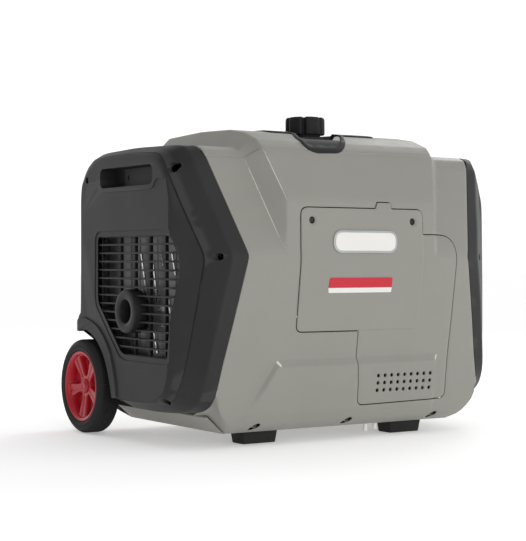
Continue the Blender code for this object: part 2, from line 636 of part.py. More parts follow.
# ---------------------------------------------------------------- control panel
def control_panel():
    face, back = 0.3490, 0.3400
    plate = prism("control_panel", rounded(-0.1495, 0.1805, 0.1195, 0.4445, 0.0115), "X", back, face)
    sink = 0.3435

    def pocket(poly):
        combine(plate, prism("tool_p", poly, "X", sink, face + 0.01))

    lens = rounded(-0.135, 0.392, -0.073, 0.430, 0.004, 2)
    pocket(inset(lens, -0.0004))
    finish(prism("display_lens", lens, "X", sink + 0.0003, face + 0.0012), (0.02, 0.05, 0.06), 0.12)

    pocket(circle(-0.040, 0.412, 0.0115, 20))
    b = turned("start_button", (-0.040, 0.412), "X", [(0, sink + 0.0026), (0.0110, sink + 0.0026), (0.0110,
        face + 0.0030),
                                                     (0.0098, face + 0.0042), (0, face + 0.0042)], 20,
               (face + 0.0042, -0.040, 0.412))
    finish(b, GREEN, 0.35)

    pocket(circle(0.022, 0.408, 0.0105, 20))
    k = turned("run_knob", (0.022, 0.408), "X", [(0, sink + 0.0005), (0.0100, sink + 0.0005), (0.0100,
                                                                                               face + 0.0006),
                                                (0.0190, face + 0.0006), (0.0190, face + 0.0040),
                                                 (0, face + 0.0040)], 24,
               (face, 0.022, 0.408))
    combine(k, block("tool_k", (face + 0.003, 0.0175, 0.391), (face + 0.0140, 0.0265, 0.425), 0.004, "X"),
            "UNION")
    finish(k, BLACK, 0.4)

    rocker = rounded(0.067, 0.394, 0.087, 0.426, 0.002, 2)
    pocket(inset(rocker, -0.0007))
    r = prism("eco_rocker", [(sink + 0.0020, 0.3965), (face + 0.0022, 0.3945), (face + 0.0016, 0.4100),
                             (face + 0.0050, 0.4255), (sink + 0.0030, 0.4235)], "Y", 0.0675, 0.0865,
              (sink + 0.003, 0.077, 0.410))
    finish(r, DARK, 0.4)

    for i, y in enumerate((0.045, 0.078)):
        pocket(circle(y, 0.345, 0.0064, 14))
        br = turned("breaker_%d" % (i + 1), (y, 0.345), "X", [(0, sink + 0.0026), (0.0060, sink + 0.0026),
                                                             (0.0060, face + 0.0035), (0, face + 0.0035)], 14,
                    (face + 0.0035, y, 0.345))
        finish(br, RED if i == 0 else WHITE, 0.4)

    body = rounded(-0.138, 0.292, -0.052, 0.366, 0.004, 2)
    pocket(inset(body, -0.0004))
    o = prism("duplex_outlets", body, "X", sink + 0.0003, face + 0.0015)
    for y in (-0.118, -0.072):
        for z in (0.311, 0.347):
            for dy, h in ((-0.0063, 0.0085), (0.0063, 0.0068)):
                combine(o, block("tool_o", (face - 0.004, y + dy - 0.0012, z - h / 2 + 0.003),
                                 (face + 0.01, y + dy + 0.0012, z + h / 2 + 0.003)))
            combine(o, prism("tool_o", circle(y, z - 0.0075, 0.0026, 8), "X", face - 0.004, face + 0.01))
    finish(o, DARK, 0.4)

    pocket(circle(-0.016, 0.330, 0.0254, 24))
    t = turned("outlet_locking", (-0.016, 0.330), "X", [(0, sink + 0.0003), (0.0250, sink + 0.0003), (0.0250,
        face + 0.0020),
                                                       (0.0180, face + 0.0020), (0.0180, face - 0.0010),
                                                       (0, face - 0.0010)], 24)
    for a0 in (20, 140, 260):
        c, s = math.cos(math.radians(a0)), math.sin(math.radians(a0))
        combine(t, prism("tool_t", circle(-0.016 + 0.0118 * c, 0.330 + 0.0118 * s, 0.0030, 8), "X",
                         sink + 0.0013, face))
    finish(t, DARK, 0.4)

    usb = rounded(0.037, 0.292, 0.087, 0.314, 0.003, 2)
    pocket(inset(usb, -0.0004))
    u = prism("usb_ports", usb, "X", sink + 0.0003, face + 0.0012)
    for y in (0.049, 0.075):
        combine(u, block("tool_u", (face - 0.004, y - 0.0066, 0.3005), (face + 0.01, y + 0.0066, 0.3055)))
    finish(u, BLACK, 0.4)

    seat = rounded(-0.140, 0.229, -0.088, 0.251, 0.004, 2)
    pocket(inset(seat, -0.0004))
    p = prism("parallel_ports", seat, "X", sink + 0.0003, face + 0.0012)
    for y in (-0.128, -0.100):
        combine(p, prism("tool_q", circle(y, 0.240, 0.0070, 14), "X", face, face + 0.0035), "UNION")
        combine(p, prism("tool_q", circle(y, 0.240, 0.0042, 12), "X", face - 0.0025, face + 0.01))
    finish(p, DARK, 0.4)

    pocket(circle(-0.058, 0.240, 0.0054, 12))
    g = turned("ground_post", (-0.058, 0.240), "X", [(0, sink + 0.0003), (0.0050, sink + 0.0003), (0.0050,
        face + 0.0008),
                                                    (0.0090, face + 0.0008), (0.0090, face + 0.0040),
                                                    (0.0030, face + 0.0040), (0.0030, face + 0.0120),
                                                    (0, face + 0.0120)], 12)
    finish(g, STEEL, 0.3, 1.0)

    # recoil pocket: a through slot in the plate that clears the grip's stem
    combine(plate, prism("tool_r", rounded(CORD_Y - 0.0435, CORD_Z - 0.0165, CORD_Y + 0.0435, CORD_Z + 0.0165,
                                           0.010),
                         "X", back - 0.01, face + 0.01))
    finish(plate, (0.035, 0.036, 0.038), 0.5)
    grip = stack("recoil_grip", [[(x, y, z) for y, z in rounded(CORD_Y - w, CORD_Z - h, CORD_Y + w,
                                                                CORD_Z + h, q, 2)]
                                 for x, w, h, q in ((0.3340, 0.0120, 0.0100, 0.006), (0.3430, 0.0340, 0.0120,
                                                                                      0.006),
                                                    (0.3530, 0.0380, 0.0130, 0.008),
                                                    (0.3610, 0.0370, 0.0115, 0.008),
                                                    (0.3655, 0.0330, 0.0080, 0.006))])
    finish(grip, BLACK, 0.6)
    cord = turned("recoil_cord", (CORD_Y, CORD_Z), "X", [(0, 0.0300), (0.0022, 0.0300), (0.0022, 0.3337), (0,
        0.3337)], 8)
    finish(cord, (0.35, 0.33, 0.28), 0.9)


# ---------------------------------------------------------------- engine and inner units
def engine():
    cc = block("crankcase", (-0.115, -0.085, 0.068), (0.058, 0.045, 0.208), 0.018, "X")
    combine(cc, prism("tool_a", circle(CRANK_Y, CRANK_Z, 0.0103, 16), "X", -0.20, 0.20))
    finish(cc, ALLOY, 0.45, 0.9)
    fins = [(0, 0.2084), (0.030, 0.2084)]
    z = 0.2134
    for _ in range(5):
        fins += [(0.030, z), (0.047, z), (0.047, z + 0.003), (0.030, z + 0.003)]
        z += 0.0135
    fins += [(0.030, 0.2850), (0, 0.2850)]
    cyl = turned("cylinder", (-0.030, CRANK_Y), "Z", fins, 14)
    combine(cyl, block("tool_h", (-0.075, -0.062, 0.2833), (0.015, 0.022, 0.3090), 0.008, "Z"), "UNION")
    finish(cyl, ALLOY, 0.5, 0.9)
    vc = stack("valve_cover", [[(x, y, z) for x, y in rounded(-0.072 + d, -0.058 + d, 0.012 - d, 0.018 - d,
                                                              0.010, 2)]
                               for d, z in ((0, 0.3093), (0, 0.325), (0.006, 0.332))])
    finish(vc, DARK, 0.4, 0.3)
    plug = turned("spark_plug", (-0.030, 0.2960), "Y", [(0, -0.0623), (0.0070, -0.0623), (0.0105, -0.0680),
                                                       (0.0105, -0.0780), (0.0060, -0.0800),
                                                        (0.0055, -0.1000),
                                                       (0.0030, -0.1030), (0, -0.1100)], 14)
    finish(plug, WHITE, 0.3)
    shaft = turned("crankshaft", (CRANK_Y, CRANK_Z), "X", [(0, -0.108), (0.0100, -0.108), (0.0100, 0.144), (0,
        0.144)], 16,
                   (0.0, CRANK_Y, CRANK_Z))
    finish(shaft, STEEL, 0.3, 1.0)
    st = turned("stator", (CRANK_Y, CRANK_Z), "X", [(0.0300, 0.0583), (0.0550, 0.0583), (0.0550, 0.0920),
                                                   (0.0300, 0.0920)], 24)
    finish(st, (0.42, 0.17, 0.05), 0.4, 0.7)
    n, blades = 50, 10

    def ring(x, cut):
        pts = []
        for k in range(n):
            t = 2 * math.pi * k / n
            r = 0.078 if not cut or k % (n // blades) < 2 else 0.034
            pts.append((x, CRANK_Y + r * math.cos(t), CRANK_Z + r * math.sin(t)))
        return pts
    fan = stack("flywheel_fan", [ring(0.1000, False), ring(0.1060, False), ring(0.1062, True), ring(0.1360,
                                                                                                    True)],
                (0.0, CRANK_Y, CRANK_Z))
    combine(fan, turned("tool_r", (CRANK_Y, CRANK_Z), "X",
                        [(0.0200, 0.0950), (0.0570, 0.0950), (0.0570, 0.0600), (0.0680, 0.0600),
                         (0.0680, 0.1020),
                         (0.0200, 0.1020)], 24), "UNION")
    combine(fan, prism("tool_f", circle(CRANK_Y, CRANK_Z, 0.0103, 16), "X", 0.09, 0.15))
    finish(fan, DARK, 0.5)
    rh = turned("recoil_housing", (CRANK_Y, CRANK_Z), "X",
                [(0.0800, 0.1030), (0.0840, 0.1030), (0.0840, 0.1560), (0.0450, 0.1760), (0.0150, 0.1760),
                 (0.0150, 0.1730), (0.0430, 0.1730), (0.0800, 0.1535)], 24)
    finish(rh, BLACK, 0.4)
    dip = turned("oil_dipstick", (-0.085, 0.100), "Y",
                 [(0, -0.0853), (0.0130, -0.0853), (0.0130, -0.0930), (0.0105, -0.0975), (0, -0.0975)], 16,
                 (-0.085, -0.0853, 0.100))
    finish(dip, (0.75, 0.55, 0.02), 0.5)
    for tag, y in (("front", -0.065), ("rear", 0.025)):
        w = ((0.0145, 0.0273), (0.0165, 0.0320), (0.0110, 0.0475), (0.0165, 0.0630), (0.0145, 0.0677))
        m = stack("isolator_" + tag, [[(u, y + v, z) for u, v in rounded(-0.110, -h, 0.053, h, 0.008, 2)]
                                      for h, z in w])
        finish(m, DARK, 0.8)


def muffler():
    can = block("muffler", (-0.275, -0.110, 0.130), (-0.165, 0.085, 0.330), 0.040, "Y")
    combine(can, prism("tool_a", circle(PORT_Y, PORT_Z, 0.0200, 20), "X", -0.322, -0.27), "UNION")
    combine(can, prism("tool_c", circle(CRANK_Y, 0.275, 0.0150, 16), "X", -0.17, -0.130), "UNION")
    hollow = block("tool_d", (-0.2735, -0.1085, 0.1315), (-0.1665, 0.0835, 0.3285), 0.0385, "Y")
    combine(hollow, prism("tool_b", circle(PORT_Y, PORT_Z, 0.0175, 20), "X", -0.36, -0.25), "UNION")
    combine(can, hollow)
    finish(can, (0.42, 0.40, 0.37), 0.35, 1.0)
    sh = block("heat_shield", (-0.2985, -0.145, 0.150), (-0.2960, 0.100, 0.372), 0.012, "X")
    combine(sh, prism("tool_a", circle(PORT_Y, PORT_Z, 0.0260, 20), "X", -0.35, -0.27))
    for s in (-1, 1):
        for k in range(5):
            y = PORT_Y + s * 0.082
            z = 0.172 + 0.038 * k
            combine(sh, block("tool_b", (-0.35, y - 0.028, z), (-0.27, y + 0.028, z + 0.016)))
    finish(sh, STEEL, 0.25, 1.0)


def service_units():
    box = block("air_box", (0.045, -0.170, 0.190), (0.170, -0.115, 0.330), 0.010, "Y")
    finish(box, BLACK, 0.5)
    lid = block("air_box_lid", (0.045, -0.190, 0.190), (0.170, -0.1703, 0.330), 0.010, "Y",
                (0.1075, -0.19, 0.26))
    finish(lid, BLACK, 0.5)
    carb = turned("carburettor", (0.035, 0.270), "Y", [(0, -0.112), (0.014, -0.112), (0.014, -0.095), (0.020,
        -0.093),
                                                      (0.020, -0.070), (0.014, -0.068), (0.014, -0.0625),
                                                      (0, -0.0625)], 16)
    finish(carb, ALLOY, 0.4, 0.9)
    batt = block("battery", (0.060, -0.183, 0.036), (0.165, -0.118, 0.126), 0.004, "Z")
    finish(batt, (0.05, 0.05, 0.055), 0.5)
    inv = block("inverter_module", (-0.080, 0.100, 0.225), (0.140, 0.165, 0.385), 0.0, "X")
    for k in range(7):
        x = -0.066 + 0.030 * k
        combine(inv, block("tool_a", (x, 0.145, 0.20), (x + 0.012, 0.20, 0.40)))
    finish(inv, ALLOY, 0.4, 0.8)
    for tag, x, z in (("a", 0.064, 0.0085), ("b", 0.086, 0.0115)):
        d = turned("drain_tube_" + tag, (x, -0.168), "Z", [(0.0022, z), (0.0040, z), (0.0040, 0.0231),
                                                           (0.0022, 0.0231)], 10)
        finish(d, STEEL, 0.25, 1.0)


def main():
    clear_scene()
    base_tray()
    service_side()
    top_cover()
    finish(shell_panel("side_panel_wheel", SEAM_B, 23), GREY, 0.45)
    fuel_tray()
    fuel_tank()
    fuel_cap()
    exhaust_cover()
    exhaust_grille()
    control_cover()
    wheels()
    pull_handle()
    control_panel()
    engine()
    muffler()
    service_units()
    for ob in bpy.data.objects:
        ob.data.shade_smooth()
        ob.data.set_sharp_from_angle(angle=math.radians(35))


if __name__ == "__main__":
    main()
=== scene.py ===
"""Looks of the inverter generator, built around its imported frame. Metres, +Z up, -Y is the service side."""
import json
import math

import bmesh
import bpy
import numpy as np
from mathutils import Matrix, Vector
from mathutils.geometry import delaunay_2d_cdt

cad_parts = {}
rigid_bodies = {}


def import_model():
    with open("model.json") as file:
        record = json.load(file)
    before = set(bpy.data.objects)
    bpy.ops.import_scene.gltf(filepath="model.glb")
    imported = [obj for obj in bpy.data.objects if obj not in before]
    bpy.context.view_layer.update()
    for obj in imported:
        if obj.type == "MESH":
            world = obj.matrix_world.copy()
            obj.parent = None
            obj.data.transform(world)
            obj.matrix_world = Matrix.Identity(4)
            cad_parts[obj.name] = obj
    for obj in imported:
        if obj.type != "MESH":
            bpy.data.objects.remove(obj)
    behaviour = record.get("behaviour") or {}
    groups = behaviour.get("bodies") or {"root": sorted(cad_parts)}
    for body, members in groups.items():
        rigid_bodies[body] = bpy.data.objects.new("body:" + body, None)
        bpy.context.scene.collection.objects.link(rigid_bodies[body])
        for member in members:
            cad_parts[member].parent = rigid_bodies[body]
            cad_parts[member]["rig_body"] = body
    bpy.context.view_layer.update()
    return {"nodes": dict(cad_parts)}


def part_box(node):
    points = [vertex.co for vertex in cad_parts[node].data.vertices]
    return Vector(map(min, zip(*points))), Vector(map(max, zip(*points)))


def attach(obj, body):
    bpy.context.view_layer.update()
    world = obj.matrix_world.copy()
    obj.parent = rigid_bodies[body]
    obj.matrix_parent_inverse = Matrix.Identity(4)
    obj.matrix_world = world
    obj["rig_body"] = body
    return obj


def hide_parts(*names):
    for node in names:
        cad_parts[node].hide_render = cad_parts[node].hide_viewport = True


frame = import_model()
NODES = frame["nodes"]

BELT_Z, BELT_X = .335, .244  # widest height, and the shell's half length there
END_X = .355  # flat faces of the end covers
CAP_Y = (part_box("fuel_cap")[0].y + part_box("fuel_cap")[1].y) / 2
WHEEL_Y, WHEEL_Z = .162, .0885
SEAT_X, SEAT_Z = .112, .398  # screws of the service cover
OUTLET = (-.014, .235)  # y and z of the exhaust outlet
LUGS = (-.203, -.004, .195)  # x of the screw recesses under the service side
TAG = {-1: "l", 1: "r"}
WELD = 2e-6  # points closer than this are one


# ---- materials
def principled(name):
    mat = bpy.data.materials.new(name)
    mat.use_nodes = True
    tree = mat.node_tree
    tree.nodes.clear()
    out = tree.nodes.new("ShaderNodeOutputMaterial")
    bsdf = tree.nodes.new("ShaderNodeBsdfPrincipled")
    tree.links.new(bsdf.outputs["BSDF"], out.inputs["Surface"])
    return mat, tree, bsdf


def feed(tree, shader, inputs):
    """Sets a node's inputs; a value that is another node's socket is linked."""
    for name, value in inputs.items():
        if isinstance(value, bpy.types.NodeSocket):
            tree.links.new(value, shader.inputs[name])
        else:
            shader.inputs[name].default_value = value


def node(tree, kind, inputs=None):
    made = tree.nodes.new("ShaderNode" + kind)
    feed(tree, made, inputs or {})
    return made


MAT = {}


def surface(name, rgb, rough, metal=0.0, spec=.5, grain=900.0, bump=.15, depth=.0002, mottle=.06,
            wear=.25, wear_rgb=None, rough_var=.08, coat=0.0, streak=None):
    """Moulded, cast or painted finish with slow mottling, worn edges, fine grain and uneven gloss."""
    mat, tree, bsdf = principled(name)
    spot = node(tree, "TexCoord").outputs["Object"]
    slow = node(tree, "TexNoise", {"Scale": 14.0, "Detail": 4.0, "Vector": spot}).outputs["Fac"]
    if streak:
        spot = node(tree, "Mapping", {"Scale": streak, "Vector": spot}).outputs["Vector"]
    fine = node(tree, "TexNoise", {"Scale": grain, "Detail": 3.0, "Vector": spot}).outputs["Fac"]
    tone = node(tree, "ValToRGB", {"Fac": slow})
    dark, light = tone.color_ramp.elements
    dark.position, light.position = .3, .7
    dark.color = (*[max(c * (1 - mottle), 0.0) for c in rgb], 1)
    light.color = (*[min(c * (1 + mottle), 1.0) for c in rgb], 1)
    edge = node(tree, "MapRange", {"From Min": .53, "From Max": .62, "To Max": wear,
                                   "Value": node(tree, "NewGeometry").outputs["Pointiness"]})
    worn = wear_rgb or [min(c * 1.8 + .02, 1.0) for c in rgb]
    mix = node(tree, "Mix")
    mix.data_type = "RGBA"
    feed(tree, mix, {"Factor": edge.outputs["Result"], "A": tone.outputs["Color"], "B": (*worn, 1)})
    gloss = node(tree, "MapRange", {"To Min": max(rough - rough_var, .03),
                                    "To Max": min(rough + rough_var, 1.0), "Value": slow})
    relief = node(tree, "Bump", {"Strength": bump, "Distance": depth, "Height": fine})
    feed(tree, bsdf, {"Base Color": mix.outputs["Result"], "Roughness": gloss.outputs["Result"],
                      "Normal": relief.outputs["Normal"], "Metallic": metal, "Specular IOR Level": spec,
                      "Coat Weight": coat})
    MAT[name] = mat


surface("shell_grey", (.262, .258, .232), .46, spec=.35, grain=1600, bump=.12, mottle=.02, wear=.3,
        wear_rgb=(.5, .5, .46))
surface("cover_black", (.0215, .0215, .022), .52, spec=.25, grain=1300, bump=.22, mottle=.1, wear=.35,
        wear_rgb=(.07, .07, .07))
# near-black, darker than any finish: painted shade inside the outlet bore and the recess eye
surface("inner_black", (.004, .004, .004), .85, spec=.1, grain=700, bump=.2, mottle=.2, wear=0.0)
# light grey for slim raised edges: a painted highlight along the creases and at the ledge's corners
surface("edge_light", (.62, .61, .57), .35, spec=.5, grain=1600, bump=.05, mottle=.02, wear=0.0)
surface("grille_black", (.014, .014, .015), .5, spec=.25, grain=1300, bump=.15, mottle=.1, wear=.12,
        wear_rgb=(.06, .06, .06))
surface("cap_black", (.013, .013, .014), .58, spec=.22, grain=1500, bump=.18, mottle=.1, wear=.5,
        wear_rgb=(.08, .08, .08))
surface("dark_rubber", (.01, .01, .01), .75, spec=.3, grain=1100, bump=.35, mottle=.2, wear=.4,
        wear_rgb=(.05, .05, .05))
surface("tyre", (.013, .013, .013), .72, spec=.3, grain=1400, bump=.4, mottle=.2, wear=.5,
        wear_rgb=(.06, .06, .058))
surface("rim_red", (.4, .002, .012), .36, spec=.4, grain=500, bump=.05, mottle=.06, wear=.25,
        wear_rgb=(.6, .08, .1), coat=.1)
surface("steel", (.62, .62, .61), .28, metal=1.0, grain=500, bump=.1, mottle=.06, streak=(1, 1, 40))
surface("alloy", (.4, .41, .42), .48, metal=.9, grain=1200, bump=.35, mottle=.1)
surface("bright_alloy", (.8, .81, .82), .25, metal=.85, grain=600, bump=.1, mottle=.08)
surface("tube_alloy", (.55, .56, .57), .32, metal=1.0, grain=400, bump=.1, mottle=.05, streak=(1, 1, 60))
surface("dark_metal", (.03, .03, .032), .38, metal=.5, grain=900, bump=.15, mottle=.15, wear=.7,
        wear_rgb=(.25, .25, .25))
surface("copper", (.42, .17, .05), .35, metal=.9, grain=350, bump=.4, mottle=.15, streak=(1, 14, 14))
surface("lens", (.01, .022, .026), .1, spec=.6, grain=300, bump=.02, mottle=.15, rough_var=.03, coat=.6)
surface("green_button", (.015, .17, .04), .3, grain=900, bump=.08, coat=.3)
surface("red_button", (.4, .004, .012), .32, grain=900, bump=.08, coat=.3)
surface("white_button", (.74, .74, .72), .35, grain=900, bump=.08, mottle=.03)
surface("panel", (.03, .031, .033), .48, spec=.35, grain=1700, bump=.18, mottle=.08)
surface("socket_black", (.012, .012, .012), .4, grain=900, bump=.1, mottle=.12, wear=.5)
surface("tank_plastic", (.014, .014, .014), .6, grain=500, bump=.3, mottle=.2)
surface("cord", (.35, .33, .28), .9, spec=.2, grain=700, bump=.8, depth=.0006, mottle=.2, streak=(1, 5, 5))
surface("oil_yellow", (.72, .5, .02), .45, grain=900, bump=.1)
surface("ceramic_white", (.76, .76, .74), .25, grain=600, bump=.05, mottle=.03, coat=.3)
surface("label_white", (.74, .73, .7), .35, grain=700, bump=.04, mottle=.02)
surface("label_red", (.52, .006, .022), .3, grain=700, bump=.04, mottle=.03)


# ---- mesh helpers
def placed(name, data):
    ob = bpy.data.objects.new(name, data)
    bpy.context.scene.collection.objects.link(ob)
    return ob


def cleaned(me, weld=True, outward=True, join_flat=False):
    """Welds doubled points, joins coplanar faces and turns the normals outward, as asked."""
    bm = bmesh.new()
    bm.from_mesh(me)
    if weld:
        bmesh.ops.remove_doubles(bm, verts=bm.verts, dist=WELD)
    if join_flat:
        bmesh.ops.dissolve_limit(bm, angle_limit=math.radians(1.0), verts=bm.verts, edges=bm.edges)
    if outward:
        bmesh.ops.recalc_face_normals(bm, faces=bm.faces)
    bm.to_mesh(me)
    bm.free()


def blank(name, verts, faces):
    me = bpy.data.meshes.new(name)
    me.from_pydata([tuple(v) for v in verts], [], faces)
    return placed(name, me)


def raw(name, verts, faces):
    """Body without looks, for cutting."""
    ob = blank(name, verts, faces)
    cleaned(ob.data, weld=False)
    return ob


def add(name, verts, faces, mat, body="frame", replaces=(), sharp=35.0, bevel=0.0, weld=True):
    """A finished piece: outward normals, smooth shading split at sharp edges, riding on its body."""
    dress(blank(name, verts, faces), mat, body, replaces, sharp, bevel, weld)


def dress(ob, mat, body="frame", replaces=(), sharp=35.0, bevel=0.0, weld=True, flat=False):
    me = ob.data
    cleaned(me, weld)
    for p in me.polygons:
        p.use_smooth = True
    me.set_sharp_from_angle(angle=math.radians(sharp))
    if bevel:
        mod = ob.modifiers.new("edges", "BEVEL")
        mod.width, mod.segments, mod.limit_method, mod.angle_limit = bevel, 2, "ANGLE", math.radians(38)
    if flat:
        mod = ob.modifiers.new("flat_faces", "WEIGHTED_NORMAL")
        mod.weight, mod.keep_sharp = 90, True
    me.materials.clear()
    me.materials.append(MAT[mat])
    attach(ob, body)
    if replaces:
        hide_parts(*replaces)


def refined(node, mat, bevel=.0006, sharp=32.0):
    """The CAD node's own shape with its edges rounded."""
    src = NODES[node]
    me = src.data.copy()
    me.name = node + "_fine"
    if "custom_normal" in me.attributes:
        me.attributes.remove(me.attributes["custom_normal"])
    cleaned(me, outward=False, join_flat=True)
    dress(placed(node + "_fine", me), mat, src["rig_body"], (node,), sharp, bevel)


def boolean(ob, tool, how="DIFFERENCE"):
    """Exact cut or union; a result that lost most of the piece is tried again another way."""
    before = ob.data
    for nudge, solver, inner in ((0.0, "EXACT", False), (0.0, "EXACT", True), (.00013, "EXACT", True),
                                 (0.0, "FAST", False), (.00017, "FAST", False)):
        tool.location = (nudge, nudge, .7 * nudge)
        mod = ob.modifiers.new("shape", "BOOLEAN")
        mod.object, mod.operation, mod.solver, mod.use_self = tool, how, solver, inner
        bpy.context.view_layer.update()
        me = bpy.data.meshes.new_from_object(ob.evaluated_get(bpy.context.evaluated_depsgraph_get()))
        ob.modifiers.clear()
        if len(me.vertices) > .7 * len(before.vertices):
            ob.data = me
            break
    bpy.data.objects.remove(tool, do_unlink=True)


def xyz(axis, u, v, w):
    """Point from two in-plane coordinates and one along the axis."""
    return {"X": (w, u, v), "Y": (u, w, v), "Z": (u, v, w)}[axis]


def ring_faces(m, n, closed=False):
    """Faces between m rings of n points; closed joins the last ring to the first."""
    return [(a * n + k, a * n + (k + 1) % n, (a + 1) % m * n + (k + 1) % n, (a + 1) % m * n + k)
            for a in range(m if closed else m - 1) for k in range(n)]


def caps(m, n):
    """End faces of a body of m rings."""
    return [tuple(range(n)), tuple(range((m - 1) * n, m * n))]


def prism(poly, axis, a, b, taper=0.0):
    """Straight or slightly tapered prism of a 2-D outline."""
    far = inset(poly, taper) if taper else poly
    verts = [xyz(axis, u, v, a) for u, v in poly] + [xyz(axis, u, v, b) for u, v in far]
    return verts, caps(2, len(poly)) + ring_faces(2, len(poly))


def lathe(centre, axis, profile, n, closed=False):
    """Body of revolution; the profile is (radius, along-axis) pairs."""
    cu, cv = centre
    turn = [2 * math.pi * k / n for k in range(n)]
    verts = [xyz(axis, cu + r * math.cos(t), cv + r * math.sin(t), w) for r, w in profile for t in turn]
    return verts, ring_faces(len(profile), n, closed)


def rect(u0, v0, u1, v1, *radius):
    return [(u0, v0, *radius), (u1, v0, *radius), (u1, v1, *radius), (u0, v1, *radius)]


def smooth(t):
    return t * t * (3 - 2 * t)


def merge(*parts):
    verts, faces = [], []
    for v, f in parts:
        off = len(verts)
        verts += list(v)
        faces += [tuple(i + off for i in q) for q in f]
    return verts, faces


def inset(poly, d):
    """Closed outline moved inward by d (outward if negative)."""
    p = np.asarray([q[:2] for q in poly], float)
    a, b = np.roll(p, 1, 0), np.roll(p, -1, 0)
    s = 1.0 if np.sum(p[:, 0] * b[:, 1] - b[:, 0] * p[:, 1]) > 0 else -1.0
    e1 = (p - a) / np.linalg.norm(p - a, axis=1)[:, None]
    e2 = (b - p) / np.linalg.norm(b - p, axis=1)[:, None]
    n1, n2 = np.c_[-e1[:, 1], e1[:, 0]] * s, np.c_[-e2[:, 1], e2[:, 0]] * s
    m = n1 + n2
    m /= np.linalg.norm(m, axis=1)[:, None]
    return [tuple(q) for q in p + m * (d / np.maximum(np.sum(m * n1, 1), .5))[:, None]]


def soft(corners, n=5, r=.01):
    """Outline with rounded corners from (u, v) or (u, v, radius) corners."""
    pts = [(Vector(c[:2]), c[2] if len(c) > 2 else r) for c in corners]
    out = []
    for i, (p, rad) in enumerate(pts):
        a, b = pts[i - 1][0], pts[(i + 1) % len(pts)][0]
        da, db = (a - p), (b - p)
        cut = min(rad, da.length * .49, db.length * .49)
        p0, p2 = p + da.normalized() * cut, p + db.normalized() * cut
        for k in range(n + 1):
            t = k / n
            out.append(tuple(p0 * (1 - t) ** 2 + p * 2 * t * (1 - t) + p2 * t * t))
    return out


def dense(poly, step):
    out = []
    for i, p in enumerate(poly):
        q = poly[(i + 1) % len(poly)]
        m = max(1, int(math.hypot(q[0] - p[0], q[1] - p[1]) / step))
        out += [(p[0] + (q[0] - p[0]) * k / m, p[1] + (q[1] - p[1]) * k / m) for k in range(m)]
    return out


def circle(cu, cv, r, n):
    return [(cu + r * math.cos(2 * math.pi * k / n), cv + r * math.sin(2 * math.pi * k / n))
            for k in range(n)]


def within(p, poly):
    hit = np.zeros(len(p), bool)
    for (x1, y1), (x2, y2) in zip(poly, poly[1:] + poly[:1]):
        if y1 != y2:
            m = (p[:, 1] > min(y1, y2)) & (p[:, 1] <= max(y1, y2))
            hit ^= m & (p[:, 0] < x1 + (p[:, 1] - y1) * (x2 - x1) / (y2 - y1))
    return hit


def reach(p, poly):
    """Distance of each point to a closed outline."""
    best = np.full(len(p), 9.0)
    for (x1, y1), (x2, y2) in zip(poly, poly[1:] + poly[:1]):
        a, d = np.array((x1, y1)), np.array((x2 - x1, y2 - y1))
        t = np.clip(((p - a) @ d) / max(d @ d, 1e-12), 0, 1)
        best = np.minimum(best, np.linalg.norm(p - a - t[:, None] * d, axis=1))
    return best


BLUR = ((-3, .03), (-2, .11), (-1, .22), (0, .28), (1, .22), (2, .11), (3, .03))


def soften(f, s):
    """Rounds the creases of a height function over about four times s."""
    return lambda a, b: sum(wa * wb * f(a + s * i, b + s * j) for i, wa in BLUR for j, wb in BLUR)


def panel(name, outline, holes, points, place, inward, mat, body="frame", replaces=(), wall=.003, roll=.0009,
          sharp=40.0):
    """Moulded panel over a height function, with rolled edges at its outline and holes, and a real wall.

    place(u, v) gives the outer surface point, and inward is the fixed direction of the wall."""
    steps = (0.0, .3 * roll, roll)
    loops, rims = [], []
    for sign, ring in [(1, outline)] + [(-1, h) for h in holes]:
        for i, d in enumerate(steps):
            loops.append(inset(ring, sign * d) if d else [tuple(q[:2]) for q in ring])
            if i == 0:
                rims.append(loops[-1])
    pts = np.asarray(points, float)
    keep = within(pts, rims[0]) & (reach(pts, rims[0]) > 2.2 * roll)
    for h in rims[1:]:
        lo, hi = np.min(h, 0) - .004, np.max(h, 0) + .004
        near = keep & np.all((pts > lo) & (pts < hi), axis=1)
        idx = np.nonzero(near)[0]
        if len(idx):
            q = pts[idx]
            keep[idx] = ~within(q, h) & (reach(q, h) > 2.2 * roll)
    pts = pts[keep]
    coords, edges = [], []
    for ring in loops:
        base = len(coords)
        coords += ring
        edges += [(base + k, base + (k + 1) % len(ring)) for k in range(len(ring))]
    coords += [tuple(q) for q in pts]
    flat, _, tris, _, _, _ = delaunay_2d_cdt([Vector(c) for c in coords], edges, [], 0, 1e-7)
    flat = np.array([tuple(v) for v in flat])
    tris = np.array([t for t in tris if len(t) == 3])
    mid = flat[tris].mean(1)
    ok = within(mid, rims[0])
    for h in rims[1:]:
        ok &= ~within(mid, h)
    tris = tris[ok]
    d = reach(flat, rims[0])
    for h in rims[1:]:
        lo, hi = np.min(h, 0) - 3 * roll, np.max(h, 0) + 3 * roll
        near = np.nonzero(np.all((flat > lo) & (flat < hi), axis=1))[0]
        if len(near):
            d[near] = np.minimum(d[near], reach(flat[near], h))
    drop = roll - np.sqrt(np.maximum(roll ** 2 - np.maximum(roll - d, 0) ** 2, 0))
    top = place(flat[:, 0], flat[:, 1])
    way = np.asarray(inward, float)
    outer, inner = top + drop[:, None] * way, top + wall * way
    n = len(flat)
    faces = [tuple(t) for t in tris] + [tuple(t[::-1] + n) for t in tris]
    seen = {}
    for t in tris:
        for a, b in ((t[0], t[1]), (t[1], t[2]), (t[2], t[0])):
            seen[(a, b)] = seen.get((a, b), 0) + 1
    for a, b in seen:
        if (b, a) not in seen:
            faces.append((b, a, a + n, b + n))
    used = sorted({i for f in faces for i in f})
    remap = {int(i): k for k, i in enumerate(used)}
    verts = np.vstack((outer, inner))[used]
    add(name, verts, [tuple(remap[int(i)] for i in f) for f in faces], mat, body, replaces, sharp, weld=False)


